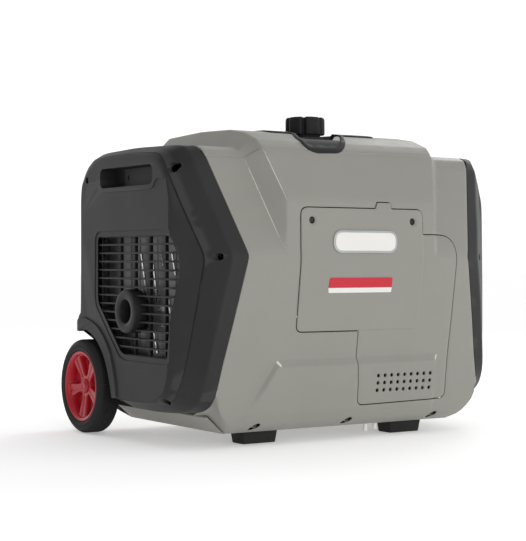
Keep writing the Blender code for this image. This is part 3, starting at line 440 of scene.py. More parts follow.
def rows(us, vs):
    g = np.meshgrid(us, vs)
    return np.c_[g[0].ravel(), g[1].ravel()]


def along(line, offsets, step=.006, axis=0):
    """Points that follow a polyline of (u, v), repeated at offsets along u (axis 0) or v (axis 1)."""
    out = []
    for p, q in zip(line, line[1:]):
        m = max(1, int(math.dist(p, q) / step))
        for k in range(m + 1):
            t = k / m
            for o in offsets:
                c = [p[0] + (q[0] - p[0]) * t, p[1] + (q[1] - p[1]) * t]
                c[axis] += o
                out.append(c)
    return np.array(out)


# ---- grey shell
LOW = [(-.125, 0.0), (-.178, .0235), (-.206, .036), (-.216, .058), (-.22, .105), (-.2245, .148),
       (-.235, .215), (-.2495, .322), (-.25, .335)]
FAR = [(.198, .3), (.198, .06), (.19, .036), (.165, .0235), (.105, 0.0)]
END = np.array(LOW + [(-.2475, .345), (-.2156, .432), (-.19, .502), (-.187, .508), (-.178, .52), (-.16, .527),
                      (-.1, .529), (0.0, .531), (.12, .528), (.16, .512),
                      (.186, .48), (.196, .45)] + FAR)
MID = np.array(LOW + [(-.249, .345), (-.2485, .432), (-.2115, .519), (-.2075, .5245), (-.19, .541),
                      (-.15, .556), (-.1, .564), (0.0, .567), (.12, .563), (.165, .542),
                      (.188, .5), (.1965, .46)] + FAR)
SEAM = 12  # index of the front seam in END and MID


def rim_x(z):
    return BELT_X + np.where(z > BELT_Z, .29 * (z - BELT_Z), .2 * (BELT_Z - z))


def crease_1(z):
    return .1665 + .29 * np.clip(z - BELT_Z, 0, .19)


def crease_2(z):
    return .1645 + .28 * np.clip(z - .432, 0, .1)


def blend_ends(x, zm, ze, mid, end):
    lo, hi = crease_2(zm), crease_1(ze)
    w = np.clip((np.abs(x) - lo) / (hi - lo), 0, 1)
    return mid + (end - mid) * w


def ledge(x, z):
    """Raised field on the lower flank, with a chamfer along its top and both ends."""
    left = (x + .171 + .67 * (.152 - z)) / .009
    t = np.clip(np.minimum(np.minimum((.152 - z) / .013, left), (.1885 - x) / .0075), 0, 1)
    return t * .0075 * np.clip((z - .035) / .07, .1, 1)


def eased(z, zs, ys, s):
    """Section height with its corners rounded over about three times s."""
    return sum(w * np.interp(z + s * i, zs, ys) for i, w in BLUR)


def service_raw(x, z):
    j = SEAM + 3
    s = np.interp(z, (.06, .1, .4, .47, .5), (.002, .005, .005, .002, .001))
    ye = eased(z, END[:j, 1], END[:j, 0], s)
    ym = eased(z, MID[:j, 1], MID[:j, 0], s)
    return blend_ends(x, z, z, ym, ye) - ledge(x, z)


def wheel_raw(x, z):
    a = slice(len(END) - 1, len(END) - 9, -1)
    ye = np.interp(z, END[a, 1], END[a, 0])
    ym = np.interp(z, MID[a, 1], MID[a, 0])
    y = blend_ends(x, z, z, ym, ye)
    dx = np.maximum(np.abs(x) - .07, 0)
    dz = np.maximum(np.abs(z - .285) - .125, 0)
    return y - .0035 * np.clip((.014 - np.hypot(dx, dz)) / .006, 0, 1)


def top_raw(x, y):
    a = slice(SEAM - 2, SEAM + 9)
    ze = np.interp(y, END[a, 0], END[a, 1])
    zm = np.interp(y, MID[a, 0], MID[a, 1])
    return blend_ends(x, zm, ze, zm, ze)


service_surf = soften(service_raw, .0006)
top_surf = soften(top_raw, .0012)
wheel_surf = soften(wheel_raw, .0014)


def cover_relief(x, z):
    """Slightly prouder rectangle on the service cover, and a dished seat round each screw."""
    dx = np.maximum(x - (.137 - .013), 0)
    dz = np.maximum((.2005 + .013) - z, 0)
    step = .0014 * np.clip((.013 - np.hypot(dx, dz)) / .0012, 0, 1)
    for s in (-1, 1):
        r = np.hypot(x - s * SEAT_X, z - SEAT_Z)
        step -= .0016 * np.clip((.01 - r) / .003, 0, 1)
    return step


SERVICE_OUTLINE = [(-.137, .1995, .014), (-.0005, .199, .002), (0.0, .15, .004), (.0065, .0628, .014),
                   (.215, .0665, .015), (.2185, .3755, .034), (.1365, .3755, .002), (.1345, .4215, .015),
                   (.064, .4215, .0015), (.06, .433, .003), (.03, .433, .003), (.026, .4215, .0015),
                   (-.1375, .4215, .016)]


FINE = (-.0036, -.002, -.0012, -.0006, 0.0, .0006, .0012, .002, .0036)
BROAD = (-.004, -.002, 0.0, .002, .004)
GRID_X, BAND_X = np.arange(-.3, .301, .009), np.arange(-.298, .3, .008)


def bands(levels, offsets):
    return [rows(BAND_X, v + np.array(offsets)) for v in levels]


def mirrored(half, gap, front=()):
    """Panel outline from its right half, the mirror image of that, and the corners of its front edge."""
    line = half + [(-u, v, r) for u, v, r in half[::-1]] + list(front)
    return inset(dense(soft(line, 3), .007), gap)


def shell():
    """Service side with its loose cover."""
    right = [(.2475, .0235), (.259, .036), (.279, .058), (.287, .075)]
    right += [(float(rim_x(z)), float(z))
              for z in (*np.linspace(.105, .335, 16), *np.linspace(.335, .508, 15)[1:])]
    outline = mirrored([(x, z, .004) for x, z in right] + [(.2167, .508, .006), (.1904, .5245, .006)], .0004)
    grid = [rows(GRID_X, np.arange(.025, .53, .009))]
    grid += bands((.036, .058, .105, .148, .215, .322, .335, .345), FINE[1:-1])
    for s in (-1, 1):
        for crease, z0 in ((crease_1, .335), (crease_2, .345)):
            line = [(s * float(crease(z)), float(z)) for z in np.linspace(z0, .53, 24)]
            grid.append(along(line, FINE, .005))
    for x0, z0, x1, z1, axis in ((-.171, .152, .1885, .152, 1), (-.165, .139, .181, .139, 1),
                                 (.1885, .152, .1885, .03, 0), (.181, .139, .181, .03, 0),
                                 (-.171, .152, -.249, .035, 0), (-.162, .152, -.24, .035, 0)):
        grid.append(along([(x0, z0), (x1, z1)], FINE[1:-1:2] + (0.0,), .004, axis))
    grid = np.vstack(grid)
    hole = dense(soft(SERVICE_OUTLINE, 6), .006)
    lugs = []
    c, sn = math.cos(.42), math.sin(.42)
    for x in LUGS:
        e = [(.01 * math.cos(t), .0052 * math.sin(t)) for t in np.linspace(0, 2 * math.pi, 21)[:-1]]
        lugs.append([(x + u * c - v * sn, .0355 + u * sn + v * c) for u, v in e])
    panel("service_side", outline, [hole] + lugs, grid, lambda x, z: np.c_[x, service_surf(x, z), z],
          (0, 1, 0), "shell_grey", "frame", ("side_panel_service",), roll=.0008)

    seats = [circle(s * SEAT_X, SEAT_Z, .0063, 24) for s in (-1, 1)]
    vents = [circle(.0495 + .01515 * k, .1165 - .0135 * r, .0035, 14) for r in range(3) for k in range(9)]
    emboss = [along([(.137, .42), (.137, .2135)], (-.0018, -.0009, 0.0, .0008), .005),
              along([(.124, .2005), (-.137, .2005)], (-.0008, 0.0, .0009, .0018), .005, 1)]
    for r in (.0106, .0118, .013, .0142):
        emboss.append(np.array([(.124 + r * math.cos(t), .2135 - r * math.sin(t))
                                for t in np.linspace(.05, 1.52, 12)]))
    for s in (-1, 1):
        for r in (.0075, .0088, .01, .0112):
            emboss.append(np.array(circle(s * SEAT_X, SEAT_Z, r, 28)))
    panel("service_hatch", inset(hole, .0016), seats + vents, np.vstack([grid] + emboss),
          lambda x, z: np.c_[x, service_surf(x, z) - cover_relief(x, z), z], (0, 1, 0),
          "shell_grey", "service_cover", ("service_cover",), roll=.0008)


def top_side():
    """Hood with the filler opening."""
    ye, ym = .1858, .1878
    right = [(.2945, -.187), (.2977, -.178), (.2997, -.16), (.3, 0.0), (.3, ye)]
    front = [(-.2167, -.187, .006), (-.1904, -.2075, .006), (.1904, -.2075, .006), (.2167, -.187, .006)]
    outline = mirrored([(x, y, .002) for x, y in right] + [(.2087, ye, .01), (.1835, ym, .01)], .0015, front)
    grid = [rows(GRID_X, np.arange(-.21, .19, .009))]
    grid += bands((-.187, -.178, -.16, .12, .162), BROAD)
    wide = tuple(1.4 * o for o in FINE)
    for s in (-1, 1):
        for line in ([(.1904, -.2075), (.1925, -.19), (.1925, .16), (.1835, .188)],
                     [(.2167, -.187), (.2205, -.178), (.2216, -.16), (.2216, .12), (.2178, .16),
                      (.2085, .186)]):
            grid.append(along([(s * x, y) for x, y in line], wide, .005))
    mouth = dense(soft([(-.1145, -.1235), (-.07, -.1235, .004), (-.086, -.178, .01), (-.02, -.178, .01),
                        (.03, -.1235, .004), (.1145, -.1235), (.1145, .0955),
                        (-.1145, .0955)], 6, .014), .008)
    panel("top_skin", outline, [mouth], np.vstack(grid), lambda x, y: np.c_[x, y, top_surf(x, y)], (0, 0, -1),
          "shell_grey", "frame", ("top_cover",), roll=.0008)


def wheel_side():
    """Panel behind the wheels, with a shallow handle bay and air slots; its bottom edge rounds under."""
    right = [(.253, .0235), (.268, .036), (.292, .058), (.3, .075), (.3, .45), (.3, .48)]
    outline = mirrored([(x, z, .004) for x, z in right] + [(.2085, .48, .006), (.1835, .4995, .006)], .0004)
    grid = [rows(GRID_X, np.arange(.025, .51, .009))]
    grid += bands((.036, .06, .3, .455), BROAD)
    for d in (-.015, -.0115, -.0085, -.0065, -.004):
        bay = rect(-.084 - d - .0085, .146 - d - .0085, .084 + d + .0085, .424 + d + .0085)
        grid.append(np.array(dense(soft(bay, 5, .014), .006)))
    slots = []
    for s in (-1, 1):
        x0, x1 = sorted((s * .155, s * .25))
        for k in range(7):
            z = .205 + .017 * k
            slots.append(dense(soft(rect(x0, z, x1, z + .006), 3, .003), .012))
    panel("wheel_side", outline, slots, np.vstack(grid), lambda x, z: np.c_[x, wheel_surf(x, z), z],
          (0, -1, 0), "shell_grey", "frame", ("side_panel_wheel",), roll=.0008)


def bead(line, half, proud):
    """Slim raised edge along a line of (x, z) on the service side, tapering off at both ends."""
    n = 60
    line = np.array(line)
    t = np.r_[0, np.cumsum(np.hypot(*np.diff(line, axis=0).T))]
    u = np.linspace(0, t[-1], n)
    x, z = np.interp(u, t, line[:, 0]), np.interp(u, t, line[:, 1])
    d = np.c_[np.gradient(x), np.gradient(z)]
    d /= np.hypot(d[:, 0], d[:, 1])[:, None]
    w = half * np.clip(np.minimum(u, (t[-1] - u) * .7) / min(.03, t[-1] * .2), .15, 1)

    def rail(off, rise):
        px, pz = x - d[:, 1] * w * off, z + d[:, 0] * w * off
        return np.c_[px, service_surf(px, pz) - rise, pz]

    rails = [rail(-1, -.0002), rail(-.5, proud * w / half * .6), rail(0.0, proud * w / half),
             rail(.5, proud * w / half * .6), rail(1, -.0002), rail(1, -.0009), rail(-1, -.0009)]
    m = len(rails)
    return np.stack(rails, 1).reshape(-1, 3), caps(n, m) + ring_faces(n, m)


def lug_screws():
    parts = []
    for x in LUGS:
        head = [(0, -.1965), (.0016, -.1965), (.002, -.1985), (.0042, -.1985), (.0048, -.1975),
                (.0048, -.1935), (0, -.1935)]
        parts.append(lathe((x + .002, .0372), "Y", head, 20))
        parts.append(prism(rect(x - .012, .0335, x + .012, .047), "Y", -.1925, -.1905))
    add("lug_screws", *merge(*parts), "dark_metal")


def painted_crease_highlights(s):
    """Slim raised edges painted light as highlights: a short one at the ledge's corner and, on the left, one
    along each crease.
    """
    if s < 0:
        beads = [bead([(-.1725, .1515), (-.1635, .14)], .0028, .0005)]
        for crease, z0, z1 in ((crease_1, .349, .5075), (crease_2, .432, .5235)):
            beads.append(bead([(-float(crease(z)), z) for z in np.linspace(z1, z0, 20)], .0008, .001))
    else:
        beads = [bead([(.188, .1515), (.182, .14)], .0024, .0005)]
    add("painted_crease_highlights_" + TAG[s], *merge(*beads), "edge_light")


shell()
top_side()
wheel_side()
lug_screws()
for side in (-1, 1):
    painted_crease_highlights(side)


# ---- end covers
RING_D = [(.119, .512), (0.0, .513), (-.118, .508), (-.15, .476), (-.165, .44), (-.166, .385), (-.166, .331),
          (-.166, .262), (-.166, .185), (-.159, .115), (-.128, .08), (-.05, .074), (.046, .074), (.057, .11),
          (.078, .152), (.115, .183), (.158, .1965), (.1885, .19),
          (.1885, .218), (.179, .227), (.178, .34), (.178, .463), (.153, .495)]
RING_C = [(.122, .519, .35), (0.0, .521, .35), (-.125, .516, .35), (-.156, .48, .3515), (-.172, .437, .341),
          (-.193, .383, .3256), (-.213, .331, .31), (-.204, .262, .319), (-.194, .185, .328),
          (-.178, .11, .337), (-.14, .074, .338), (-.052, .068, .338), (.046, .068, .338), (.057, .11, .345),
          (.078, .152, .345), (.115, .183, .345), (.158, .1965, .345), (.1925, .19, .345),
          (.1925, .219, .345), (.186, .228, .345),
          (.186, .34, .345), (.185, .467, .347), (.158, .502, .349)]
RING_B = [(.13, .529, .33), (0.0, .532, .33), (-.16, .528, .325), (-.187, .499, .3175), (-.208, .441, .301),
          (-.2295, .385, .286), (-.247, .335, .271), (-.2385, .262, .286), (-.227, .185, .3),
          (-.2155, .105, .3135), (-.176, .062, .315), (-.058, .055, .315), (.046, .055, .315),
          (.057, .11, .325), (.078, .152, .325), (.115, .183, .325), (.158, .1965, .325), (.192, .19, .325),
          (.192, .22, .325), (.191, .232, .325),
          (.193, .34, .325), (.192, .473, .325), (.17, .51, .327)]
RING_A = [(.132, .5275), (0.0, .531), (-.16, .527), (-.19, .502), (-.2127, .44), (-.233, .385), (-.25, .335),
          (-.2415, .262), (-.23, .185), (-.22, .105), (-.19, .062), (-.058, .052), (.046, .052), (.057, .11),
          (.078, .152), (.115, .183), (.158, .1965), (.198, .19),
          (.198, .22), (.198, .232), (.198, .34), (.193, .463), (.167, .505)]
# share of the groove's full depth at each corner of RING_C
GROOVE = [0, 0, .7, 1, 1, 1, 1, 1, 1, .8, .3, 0, 0, 0, 0, 0, 0, 0, 0, 0, 0, 0, 0]
PER_CORNER = 6


def flow(ring, f):
    """Ring with each corner rounded by a share f of its two edges, and by more at the lower corner."""
    ring = np.asarray(ring, float)
    share = np.full(len(ring), f)
    share[9:11] = .49
    f = share[:, None, None]
    t = np.linspace(0, 1, PER_CORNER)[None, :, None]
    p, a, b = ring[:, None], np.roll(ring, 1, 0)[:, None], np.roll(ring, -1, 0)[:, None]
    p0, p2 = p + (a - p) * f, p + (b - p) * f
    corner = p0 * (1 - t) ** 2 + p * 2 * t * (1 - t) + p2 * t * t
    span = np.roll(p0, -1, 0) - p2
    return np.concatenate((corner, p2 + span / 3, p2 + span * 2 / 3), 1).reshape(-1, ring.shape[1])


def toward(p, q, d):
    """Point at distance d from p on the way to q (at most 45 % of the way)."""
    v = q - p
    length = np.maximum(np.linalg.norm(v, axis=1), 1e-9)
    return p + v * (np.minimum(d / length, .45))[:, None]


def bend(p0, p, p2, n):
    return [p0 * (1 - t) ** 2 + p * 2 * t * (1 - t) + p2 * t * t for t in np.linspace(0, 1, n)]


def cover_rows():
    """Rows of (x, y, z) from the shell joint to the flat face of an end cover, x measured outwards."""
    a = flow([(y, z, 0) for y, z in RING_A], .13)
    b, c = flow(RING_B, .22), flow(RING_C, .3)
    d = flow([(y, z, END_X) for y, z in RING_D], .3)
    g = flow([(v, 0) for v in GROOVE], .3)[:, 0]
    y, z = a[:, 0], a[:, 1]
    side = (y < -.185) & (z > .085)
    lid = (z > .49) & ~side
    ax = np.where(side, np.minimum(rim_x(z), .2997), .2997) + .0006
    low = (z < .09) & (y < .05)
    ax = np.where(low, .2896, ax)
    a[:, 0] = np.where(side, service_surf(ax, z), y)
    a[:, 1] = np.where(lid, top_surf(np.full_like(y, .298), y), z)
    A = np.c_[ax, a[:, 0], a[:, 1]]
    B, C, D = (np.c_[r[:, 2], r[:, 0], r[:, 1]] for r in (b, c, d))
    tangent = np.roll(C, -1, 0) - np.roll(C, 1, 0)
    inward = np.cross(tangent, B - C)
    inward /= np.maximum(np.linalg.norm(inward, axis=1), 1e-9)[:, None]
    inward *= np.where(inward[:, 0] > 0, -1, 1)[:, None]
    sink = inward * (.0024 * g)[:, None]
    flat = np.c_[np.full(len(D), END_X), np.array(inset([(q[1], q[2]) for q in D], .009))]
    arch = (D[:, 1] > .035) & (D[:, 2] < .225)
    flat[arch] = np.c_[np.full(arch.sum(), END_X), np.array(inset([(q[1], q[2]) for q in D], .002))[arch]]
    rows_ = [A, toward(A, B, .0007)] + bend(toward(B, A, .005), B, toward(B, C, .006), 5)
    near_b, near_c = toward(B, C, .006), toward(C, B, .0024)
    rows_ += [near_b + (near_c - near_b) * t for t in (.25, .5, .75)]
    rows_ += [near_c, toward(C, B, .0017) + sink, C + sink * 1.05, toward(C, D, .0012) + sink * .35]
    start = C + (D - C) * .52
    start[arch] = toward(D, C, .002)[arch]
    rows_ += bend(start, D, flat, 7)
    rows_[0] = np.c_[A[:, 0], np.array(inset([(q[1], q[2]) for q in A], .0007))]
    return rows_


def sloped_x(y, z, C=np.array(RING_C), D=np.array(RING_D)):
    """|x| of the flat face and of the flank on its service side."""
    k = slice(9, 2, -1)
    yc, xc = np.interp(z, C[k, 1], C[k, 0]), np.interp(z, C[k, 1], C[k, 2])
    yd = np.interp(z, D[k, 1], D[k, 0])
    t = np.clip((yd - y) / (yd - yc), 0, 1)
    return END_X - (END_X - xc) * t


GRILLE = [(.108, .371, .01), (-.166, .371, .014), (-.1825, .322, .02), (-.176, .281, .02),
          (-.1615, .192, .02), (-.156, .156, .006), (-.005, .156, .004), (.015, .16, .008),
          (.108, .249, .012)]
RECESS = [(-.108, .4605), (-.108, .4965), (.094, .4965), (.094, .4605)]
SCREWS = [(-.1655, .489, .322), (-.2285, .333, .278), (-.135, .0815, .322), (.15, .4785, .33),
          (.1835, .3, .325)]


def end_cover(name, s, node):
    """End cover with its screws, shaped at the exhaust end and mirrored for the control end."""
    rows_ = cover_rows()
    n = len(rows_[0])
    backs = []
    for r, dx in ((rows_[0], 0.0), (rows_[4], .0025), (rows_[11], .003), (rows_[-1], .003)):
        backs.append(np.c_[r[:, 0] - dx, np.array(inset([(q[1], q[2]) for q in r], .003))])
    seq = rows_ + backs[::-1]
    face = len(rows_)  # the flat face and the one behind it close the body
    faces = ring_faces(len(seq), n, True)
    faces[(face - 1) * n:face * n] = []
    faces += [tuple(range((face - 1) * n, face * n)), tuple(range(face * n, face * n + n))]
    ob = raw(name, np.vstack(seq) * (-1, 1, 1), faces)

    def cut(poly, x0, x1, how="DIFFERENCE"):
        boolean(ob, raw("tool", *prism(poly, "X", -x0, -x1)), how)

    cup = [(y + math.copysign(.003, y), z + math.copysign(.003, z - .478)) for y, z in RECESS]
    cut(soft(cup, 5, .016), .318, .3535, "UNION")
    cut(soft(RECESS, 5, .0135), .37, .3205)
    step = [(.3, .4765), (.11, .4765, .006), (.102, .4525, .01), (-.108, .4525, .01),
            (-.119, .47, .012), (-.145, .47), (-.3, .47), (-.3, 0.0), (.3, 0.0)]
    cut(soft(step, 4, .001), .37, END_X - .0012)
    if s < 0:
        mouth = soft(GRILLE, 5)
        cut(inset(mouth, -.01), .37, END_X - .0026)
        cut(mouth, .37, .262)
    else:
        mouth = soft(rect(-.1505, .1795, .1205, .4455), 5, .012)
        cut(inset(mouth, -.004), .37, END_X - .0026)
        cut(mouth, .37, .3)
        for k in range(4):
            z = .094 + .017 * k
            cut(soft(rect(-.12, z, .02, z + .006), 3, .003), .37, .33)
    heads = []
    for y, z, x in SCREWS:
        well = [(0, -x), (.0062, -x), (.0068, -(x + .06)), (0, -(x + .06))]
        boolean(ob, raw("tool", *lathe((y, z), "X", well, 24)))
        if y < -.14:
            top = float(sloped_x(y, z)) if z < .44 else .333
            dish = [(0, -(top - .004)), (.004, -(top - .0035)), (.0095, -(top + .006)),
                    (.0095, -(top + .05)), (0, -(top + .05))]
            boolean(ob, raw("tool", *lathe((y + .004, z - .001), "X", dish, 28)))
        head = [(0, -.003), (.0046, -.003), (.0046, .0022), (.004, .003), (.0022, .003),
                (.0019, .0012), (0, .0012)]
        heads.append(lathe((y, z), "X", [(r, s * (x + dx)) for r, dx in head], 18))
    for v in ob.data.vertices:
        v.co.x = abs(v.co.x) * s
    dress(ob, "cover_black", "frame", (node,), 28, .0008, flat=True)
    gusset(s, rows_[1])
    add(name + "_screws", *merge(*heads), "dark_metal")


def gusset(s, edge):
    """Grey corner that carries the shell round under the lower corner of an end cover."""
    p = np.array([(.2896, -.22, .105), (.287, -.2178, .075), (.279, -.216, .058), (.259, -.206, .036),
                  (.2475, -.178, .0235), (.2475, -.13, .0235)])
    q = edge[(edge[:, 1] < -.13) & (edge[:, 2] < .1045)]
    q = q[np.argsort(.2 * q[:, 1] - q[:, 2])] - (.001, 0, 0)

    def spread(line):
        t = np.r_[0, np.cumsum(np.linalg.norm(np.diff(line, axis=0), axis=1))]
        return np.array([[np.interp(v * t[-1], t, line[:, i]) for i in range(3)]
                         for v in np.linspace(0, 1, 12)])

    p, q = spread(p), spread(np.vstack((q, (.286, -.13, .053))))
    m, n = len(p), 5  # stations along the corner, and points across it
    verts = [tuple(a[i] + (b[i] - a[i]) * k / (n - 1) for i in range(3)) for a, b in zip(p, q)
             for k in range(n)]
    verts += [(x - .003, y + .004, z + .002) for x, y, z in verts]
    faces = [(i * n + k, i * n + k + 1, (i + 1) * n + k + 1, (i + 1) * n + k)
             for i in range(m - 1) for k in range(n - 1)]
    faces += [tuple(i + m * n for i in f) for f in faces]
    ring = [i * n for i in range(m)] + [(m - 1) * n + k for k in range(1, n)]
    ring += [i * n + n - 1 for i in range(m - 2, -1, -1)] + list(range(n - 2, 0, -1))
    faces += [(a, b, b + m * n, a + m * n) for a, b in zip(ring, ring[1:] + ring[:1])]
    add("corner_" + TAG[s], [(s * x, y, z) for x, y, z in verts], faces, "shell_grey", sharp=50)


def arch_parts(s):
    arc = [(.046, .055, .004), (.057, .11, .03), (.078, .152, .03), (.115, .183, .03), (.158, .1965, .03),
           (.1965, .19, .004), (.1965, .062, .01), (.19, .056, .01),
           (.165, .053, .01), (.047, .053, .004)]
    add("arch_liner_" + TAG[s], *prism(soft(arc, 4), "X", s * .2975, s * .3015), "cover_black", bevel=.0006)
    edge = soft([(.04, .02, .001), (.0445, .074, .01), (.056, .112, .03), (.0775, .1535, .03),
                 (.1145, .1845, .03), (.158, .198, .02), (.188, .1915, .001), (.188, .2165, .008),
                 (.16, .221, .03), (.101, .207, .04), (.058, .17, .04), (.0345, .12, .04),
                 (.027, .076, .012), (.03, .02, .001)], 6)
    edge = [q for q in edge if q[1] > .0735]
    add("fender_" + TAG[s], *prism(edge, "X", s * .353, s * .3572, .0012), "cover_black", bevel=.0008)


def grille():
    """Horizontal blades over upright ribs, cut back to the flank, with the outlet ring."""
    mouth = soft(GRILLE, 5)
    low, high = np.min(mouth, 0)[1] + .0008, np.max(mouth, 0)[1] - .0008
    parts = []

    def span(axis, value):
        """Interval of the mouth outline at one height (axis 1) or station (axis 0)."""
        hits = []
        for p, q in zip(mouth, mouth[1:] + mouth[:1]):
            if (p[axis] - value) * (q[axis] - value) < 0:
                t = (value - p[axis]) / (q[axis] - p[axis])
                hits.append(p[1 - axis] + (q[1 - axis] - p[1 - axis]) * t)
        return min(hits) - .002, max(hits) + .002

    def blade(lo, hi, z):
        half, front, depth = .0017, .35, .0105
        m = max(2, int((hi - lo) / .008))
        verts = []
        for k in range(m + 1):
            y = lo + (hi - lo) * k / m
            x = -min(front, float(sloped_x(y, z)) - .0012)
            for dx, dz in ((0.0, -half * .5), (0.0, half * .5), (.0007, half), (depth, half), (depth, -half),
                           (.0007, -half)):
                verts.append((x + dx, y, z + dz))
        return verts, caps(m + 1, 6) + ring_faces(m + 1, 6)

    for k in range(15):
        z = .1555 + .0154 * k
        lo, hi = span(1, min(max(z, low), high))
        gap = .03 ** 2 - (z - OUTLET[1]) ** 2
        if gap > 0:
            parts += [blade(lo, OUTLET[0] - gap ** .5, z), blade(OUTLET[0] + gap ** .5, hi, z)]
        else:
            parts.append(blade(lo, hi, z))
    for k in range(5):
        y = -.128 + .0565 * k
        lo, hi = span(0, y)
        x = -min(.34, float(sloped_x(y, .26)) - .009)
        parts.append(prism(rect(y - .0019, lo, y + .0019, hi), "X", x, x + .006))
    ring = [(.0215, -.333), (.0215, -.3575), (.0222, -.3592), (.024, -.3602), (.0352, -.3606),
            (.0376, -.36), (.0392, -.358), (.0398, -.354), (.0398, -.334)]
    parts.append(lathe(OUTLET, "X", ring, 56, True))
    # near-black disk closing the outlet bore: painted shade inside the outlet
    bore = [(0, -.334), (.022, -.334), (.022, -.331), (0, -.331)]
    add("outlet_bore", *lathe(OUTLET, "X", bore, 40), "inner_black")
    add("grille_bars", *merge(*parts), "grille_black", "frame", ("exhaust_grille",), 30)


def heat_slats():
    """Punched guard behind the grille: bright slanted slats on a dark sheet that paints the shade of the
    interior behind the grille.
    """
    bright, dark = [], []
    for y0, z0, y1, z1, w in ((-.0118, .3406, -.0368, .256, .0019), (-.0574, .3226, -.0721, .2559, .0019),
                              (-.0546, .2158, -.0733, .1621, .0017), (-.0878, .3403, -.0934, .3173, .0019),
                              (-.0906, .2157, -.0917, .209, .0024), (-.1253, .3414, -.1384, .3014, .0019),
                              (-.1133, .2636, -.121, .2289, .0022)):
        bright.append([(y0 - w, z0), (y0 + w, z0), (y1 + w, z1), (y1 - w, z1)])
    bright.append([(-.099, .2457), (-.0597, .2447), (-.0597, .236), (-.099, .2371)])
    bright.append([(-.0811, .2643), (-.0597, .2639), (-.0597, .2551), (-.0811, .2556)])
    # the dark strips and sheet are painted shade of the interior behind the grille
    for k in range(7):
        y = -.128 + .033 * k
        dark.append(prism(rect(y - .01, .162, y + .01, .366), "X", -.3246, -.3236))
    dark.append(prism(rect(-.15, .15, .118, .372), "X", -.3236, -.3226))
    add("guard_slats", *merge(*[prism(slat, "X", -.3262, -.3248) for slat in bright]), "bright_alloy")
    add("guard_shade_sheet", *merge(*dark), "dark_metal")


def baffles():
    """Dark boards behind the air openings: painted shade seen through them."""
    # near-black boards: painted shade behind the slots and vents
    boards = []
    for s in (-1, 1):
        x0, x1 = sorted((s * .148, s * .257))
        boards.append(prism(rect(x0, .197, x1, .322), "Y", .179, .181))
    boards.append(prism(rect(-.13, .086, .03, .158), "X", .318, .32))
    add("intake_shade_boards", *merge(*boards), "dark_rubber")
    outline = soft(rect(.04, .08, .182, .126), 3, .004)
    pts = rows(np.arange(.04, .183, .012), np.arange(.08, .127, .008))
    panel("vent_shade_board", dense(outline, .01), [], pts, lambda x, z: np.c_[x, service_surf(x, z) + .0062, z],
          (0, 1, 0), "dark_rubber", "service_cover", (), wall=.0015, roll=.0002)


def recess_floor(s):
    """Raised floor of a finger recess, with its small eye, a near-black oval of painted shade."""
    block = soft([(-.107, .4612, .012), (.047, .4612, .001), (.047, .4958, .001),
                  (-.107, .4958, .012)], 5)
    x0, x1 = sorted((s * .3212, s * .3272))
    add("recess_floor_" + TAG[s], *prism(block, "X", x0, x1), "cover_black", bevel=.0006)
    oval = [(.0335 + .0026 * math.cos(t), .4785 + .005 * math.sin(t))
            for t in np.linspace(0, 2 * math.pi, 25)[:-1]]
    x0, x1 = sorted((s * .3268, s * .3274))
    add("recess_eye_" + TAG[s], *prism(oval, "X", x0, x1), "inner_black")


end_cover("exhaust_end", -1, "exhaust_cover")
end_cover("control_end", 1, "control_cover")
for side in (-1, 1):
    arch_parts(side)
grille()
heat_slats()
baffles()
for side in (-1, 1):
    recess_floor(side)


# ---- wheels
def wheel(s):
    tag, body = TAG[s], "wheel_" + TAG[s]
    n, pitch = 360, 2 * np.pi / 5  # points round the wheel, and the angle from spoke to spoke
    theta = 2 * np.pi * np.arange(n) / n
    rings = []

    def ring(r, x):
        r, x = np.broadcast_to(r, n), np.broadcast_to(x, n)
        rings.append(np.c_[s * x, WHEEL_Y + r * np.cos(theta), WHEEL_Z + r * np.sin(theta)])

    off = np.abs((theta + np.pi / 2 - .105 + np.pi / 5) % pitch - np.pi / 5)
    for r in np.concatenate((np.linspace(.014, .0245, 9), np.linspace(.027, .0535, 10),
                             np.linspace(.055, .059, 5))):
        half = .0074 + .0048 * max(r - .03, 0) / .027
        d = np.minimum(np.minimum(r - .0195, .058 - r), off * r - half)
        t = smooth(np.clip(d / .0034, 0, 1))
        crown = .3515 + .005 * (r - .014) / .045
        ridge = .0013 * np.exp(-((off * r) / .0026) ** 2) * (.018 < r < .057)
        ring(r, crown - ridge - .0125 * t)
    for r, x in ((.06, .359), (.0612, .3612), (.063, .3624), (.0655, .3628), (.0668, .3616), (.0668, .3225),
                 (.065, .321), (.057, .323), (.0545, .335), (.026, .335),
                 (.024, .3205), (.008, .32), (.008, .346), (.012, .35)):
        ring(r, x)
    faces = ring_faces(len(rings), n, True)
    add("rim_cast_" + tag, np.vstack(rings), faces, "rim_red", body, ("rim_" + tag,), 50)
    cap = [(0, .356), (.005, .3562), (.0058, .3572), (.0072, .3574), (.008, .3562), (.0104, .3556),
           (.0124, .354), (.0132, .3515), (.0132, .3505), (0, .3505)]
    add("hub_cap_" + tag, *lathe((WHEEL_Y, WHEEL_Z), "X", [(r, s * x) for r, x in cap], 60), "rim_red", body)
    rings.clear()
    k = np.arange(n)
    lug_a, lug_b = k % 2 * .0014, (k + 1) % 2 * .0014
    profile = [(.0674, .3215, 0), (.07, .3196, 0), (.0745, .3188, 0), (.079, .3194, 0), (.0825, .3212, 0),
               (.0862, .324, 1), (.0881, .3275, 1), (.0885, .331, 1), (.0885, .336, 1), (.0868, .3366, 0),
               (.0868, .3374, 0), (.0885, .338, 2), (.0885, .342, 2), (.0885, .346, 2), (.0868, .3466, 0),
               (.0868, .3474, 0), (.0885, .348, 3), (.0885, .353, 3), (.0881, .3566, 3), (.0862, .3602, 3),
               (.0825, .363, 0), (.079, .3648, 0), (.0776, .3652, 0), (.0768, .3644, 0), (.0758, .3643, 0),
               (.075, .3652, 0), (.0715, .3648, 0), (.069, .3636, 0), (.0674, .3622, 0)]
    for r, x, kind in profile:
        ring(r - (lug_a if kind in (1, 3) else lug_b if kind == 2 else 0), x)
    faces = ring_faces(len(rings), n, True)
    add("tyre_tread_" + tag, np.vstack(rings), faces, "tyre", body, ("tyre_" + tag,), 40)


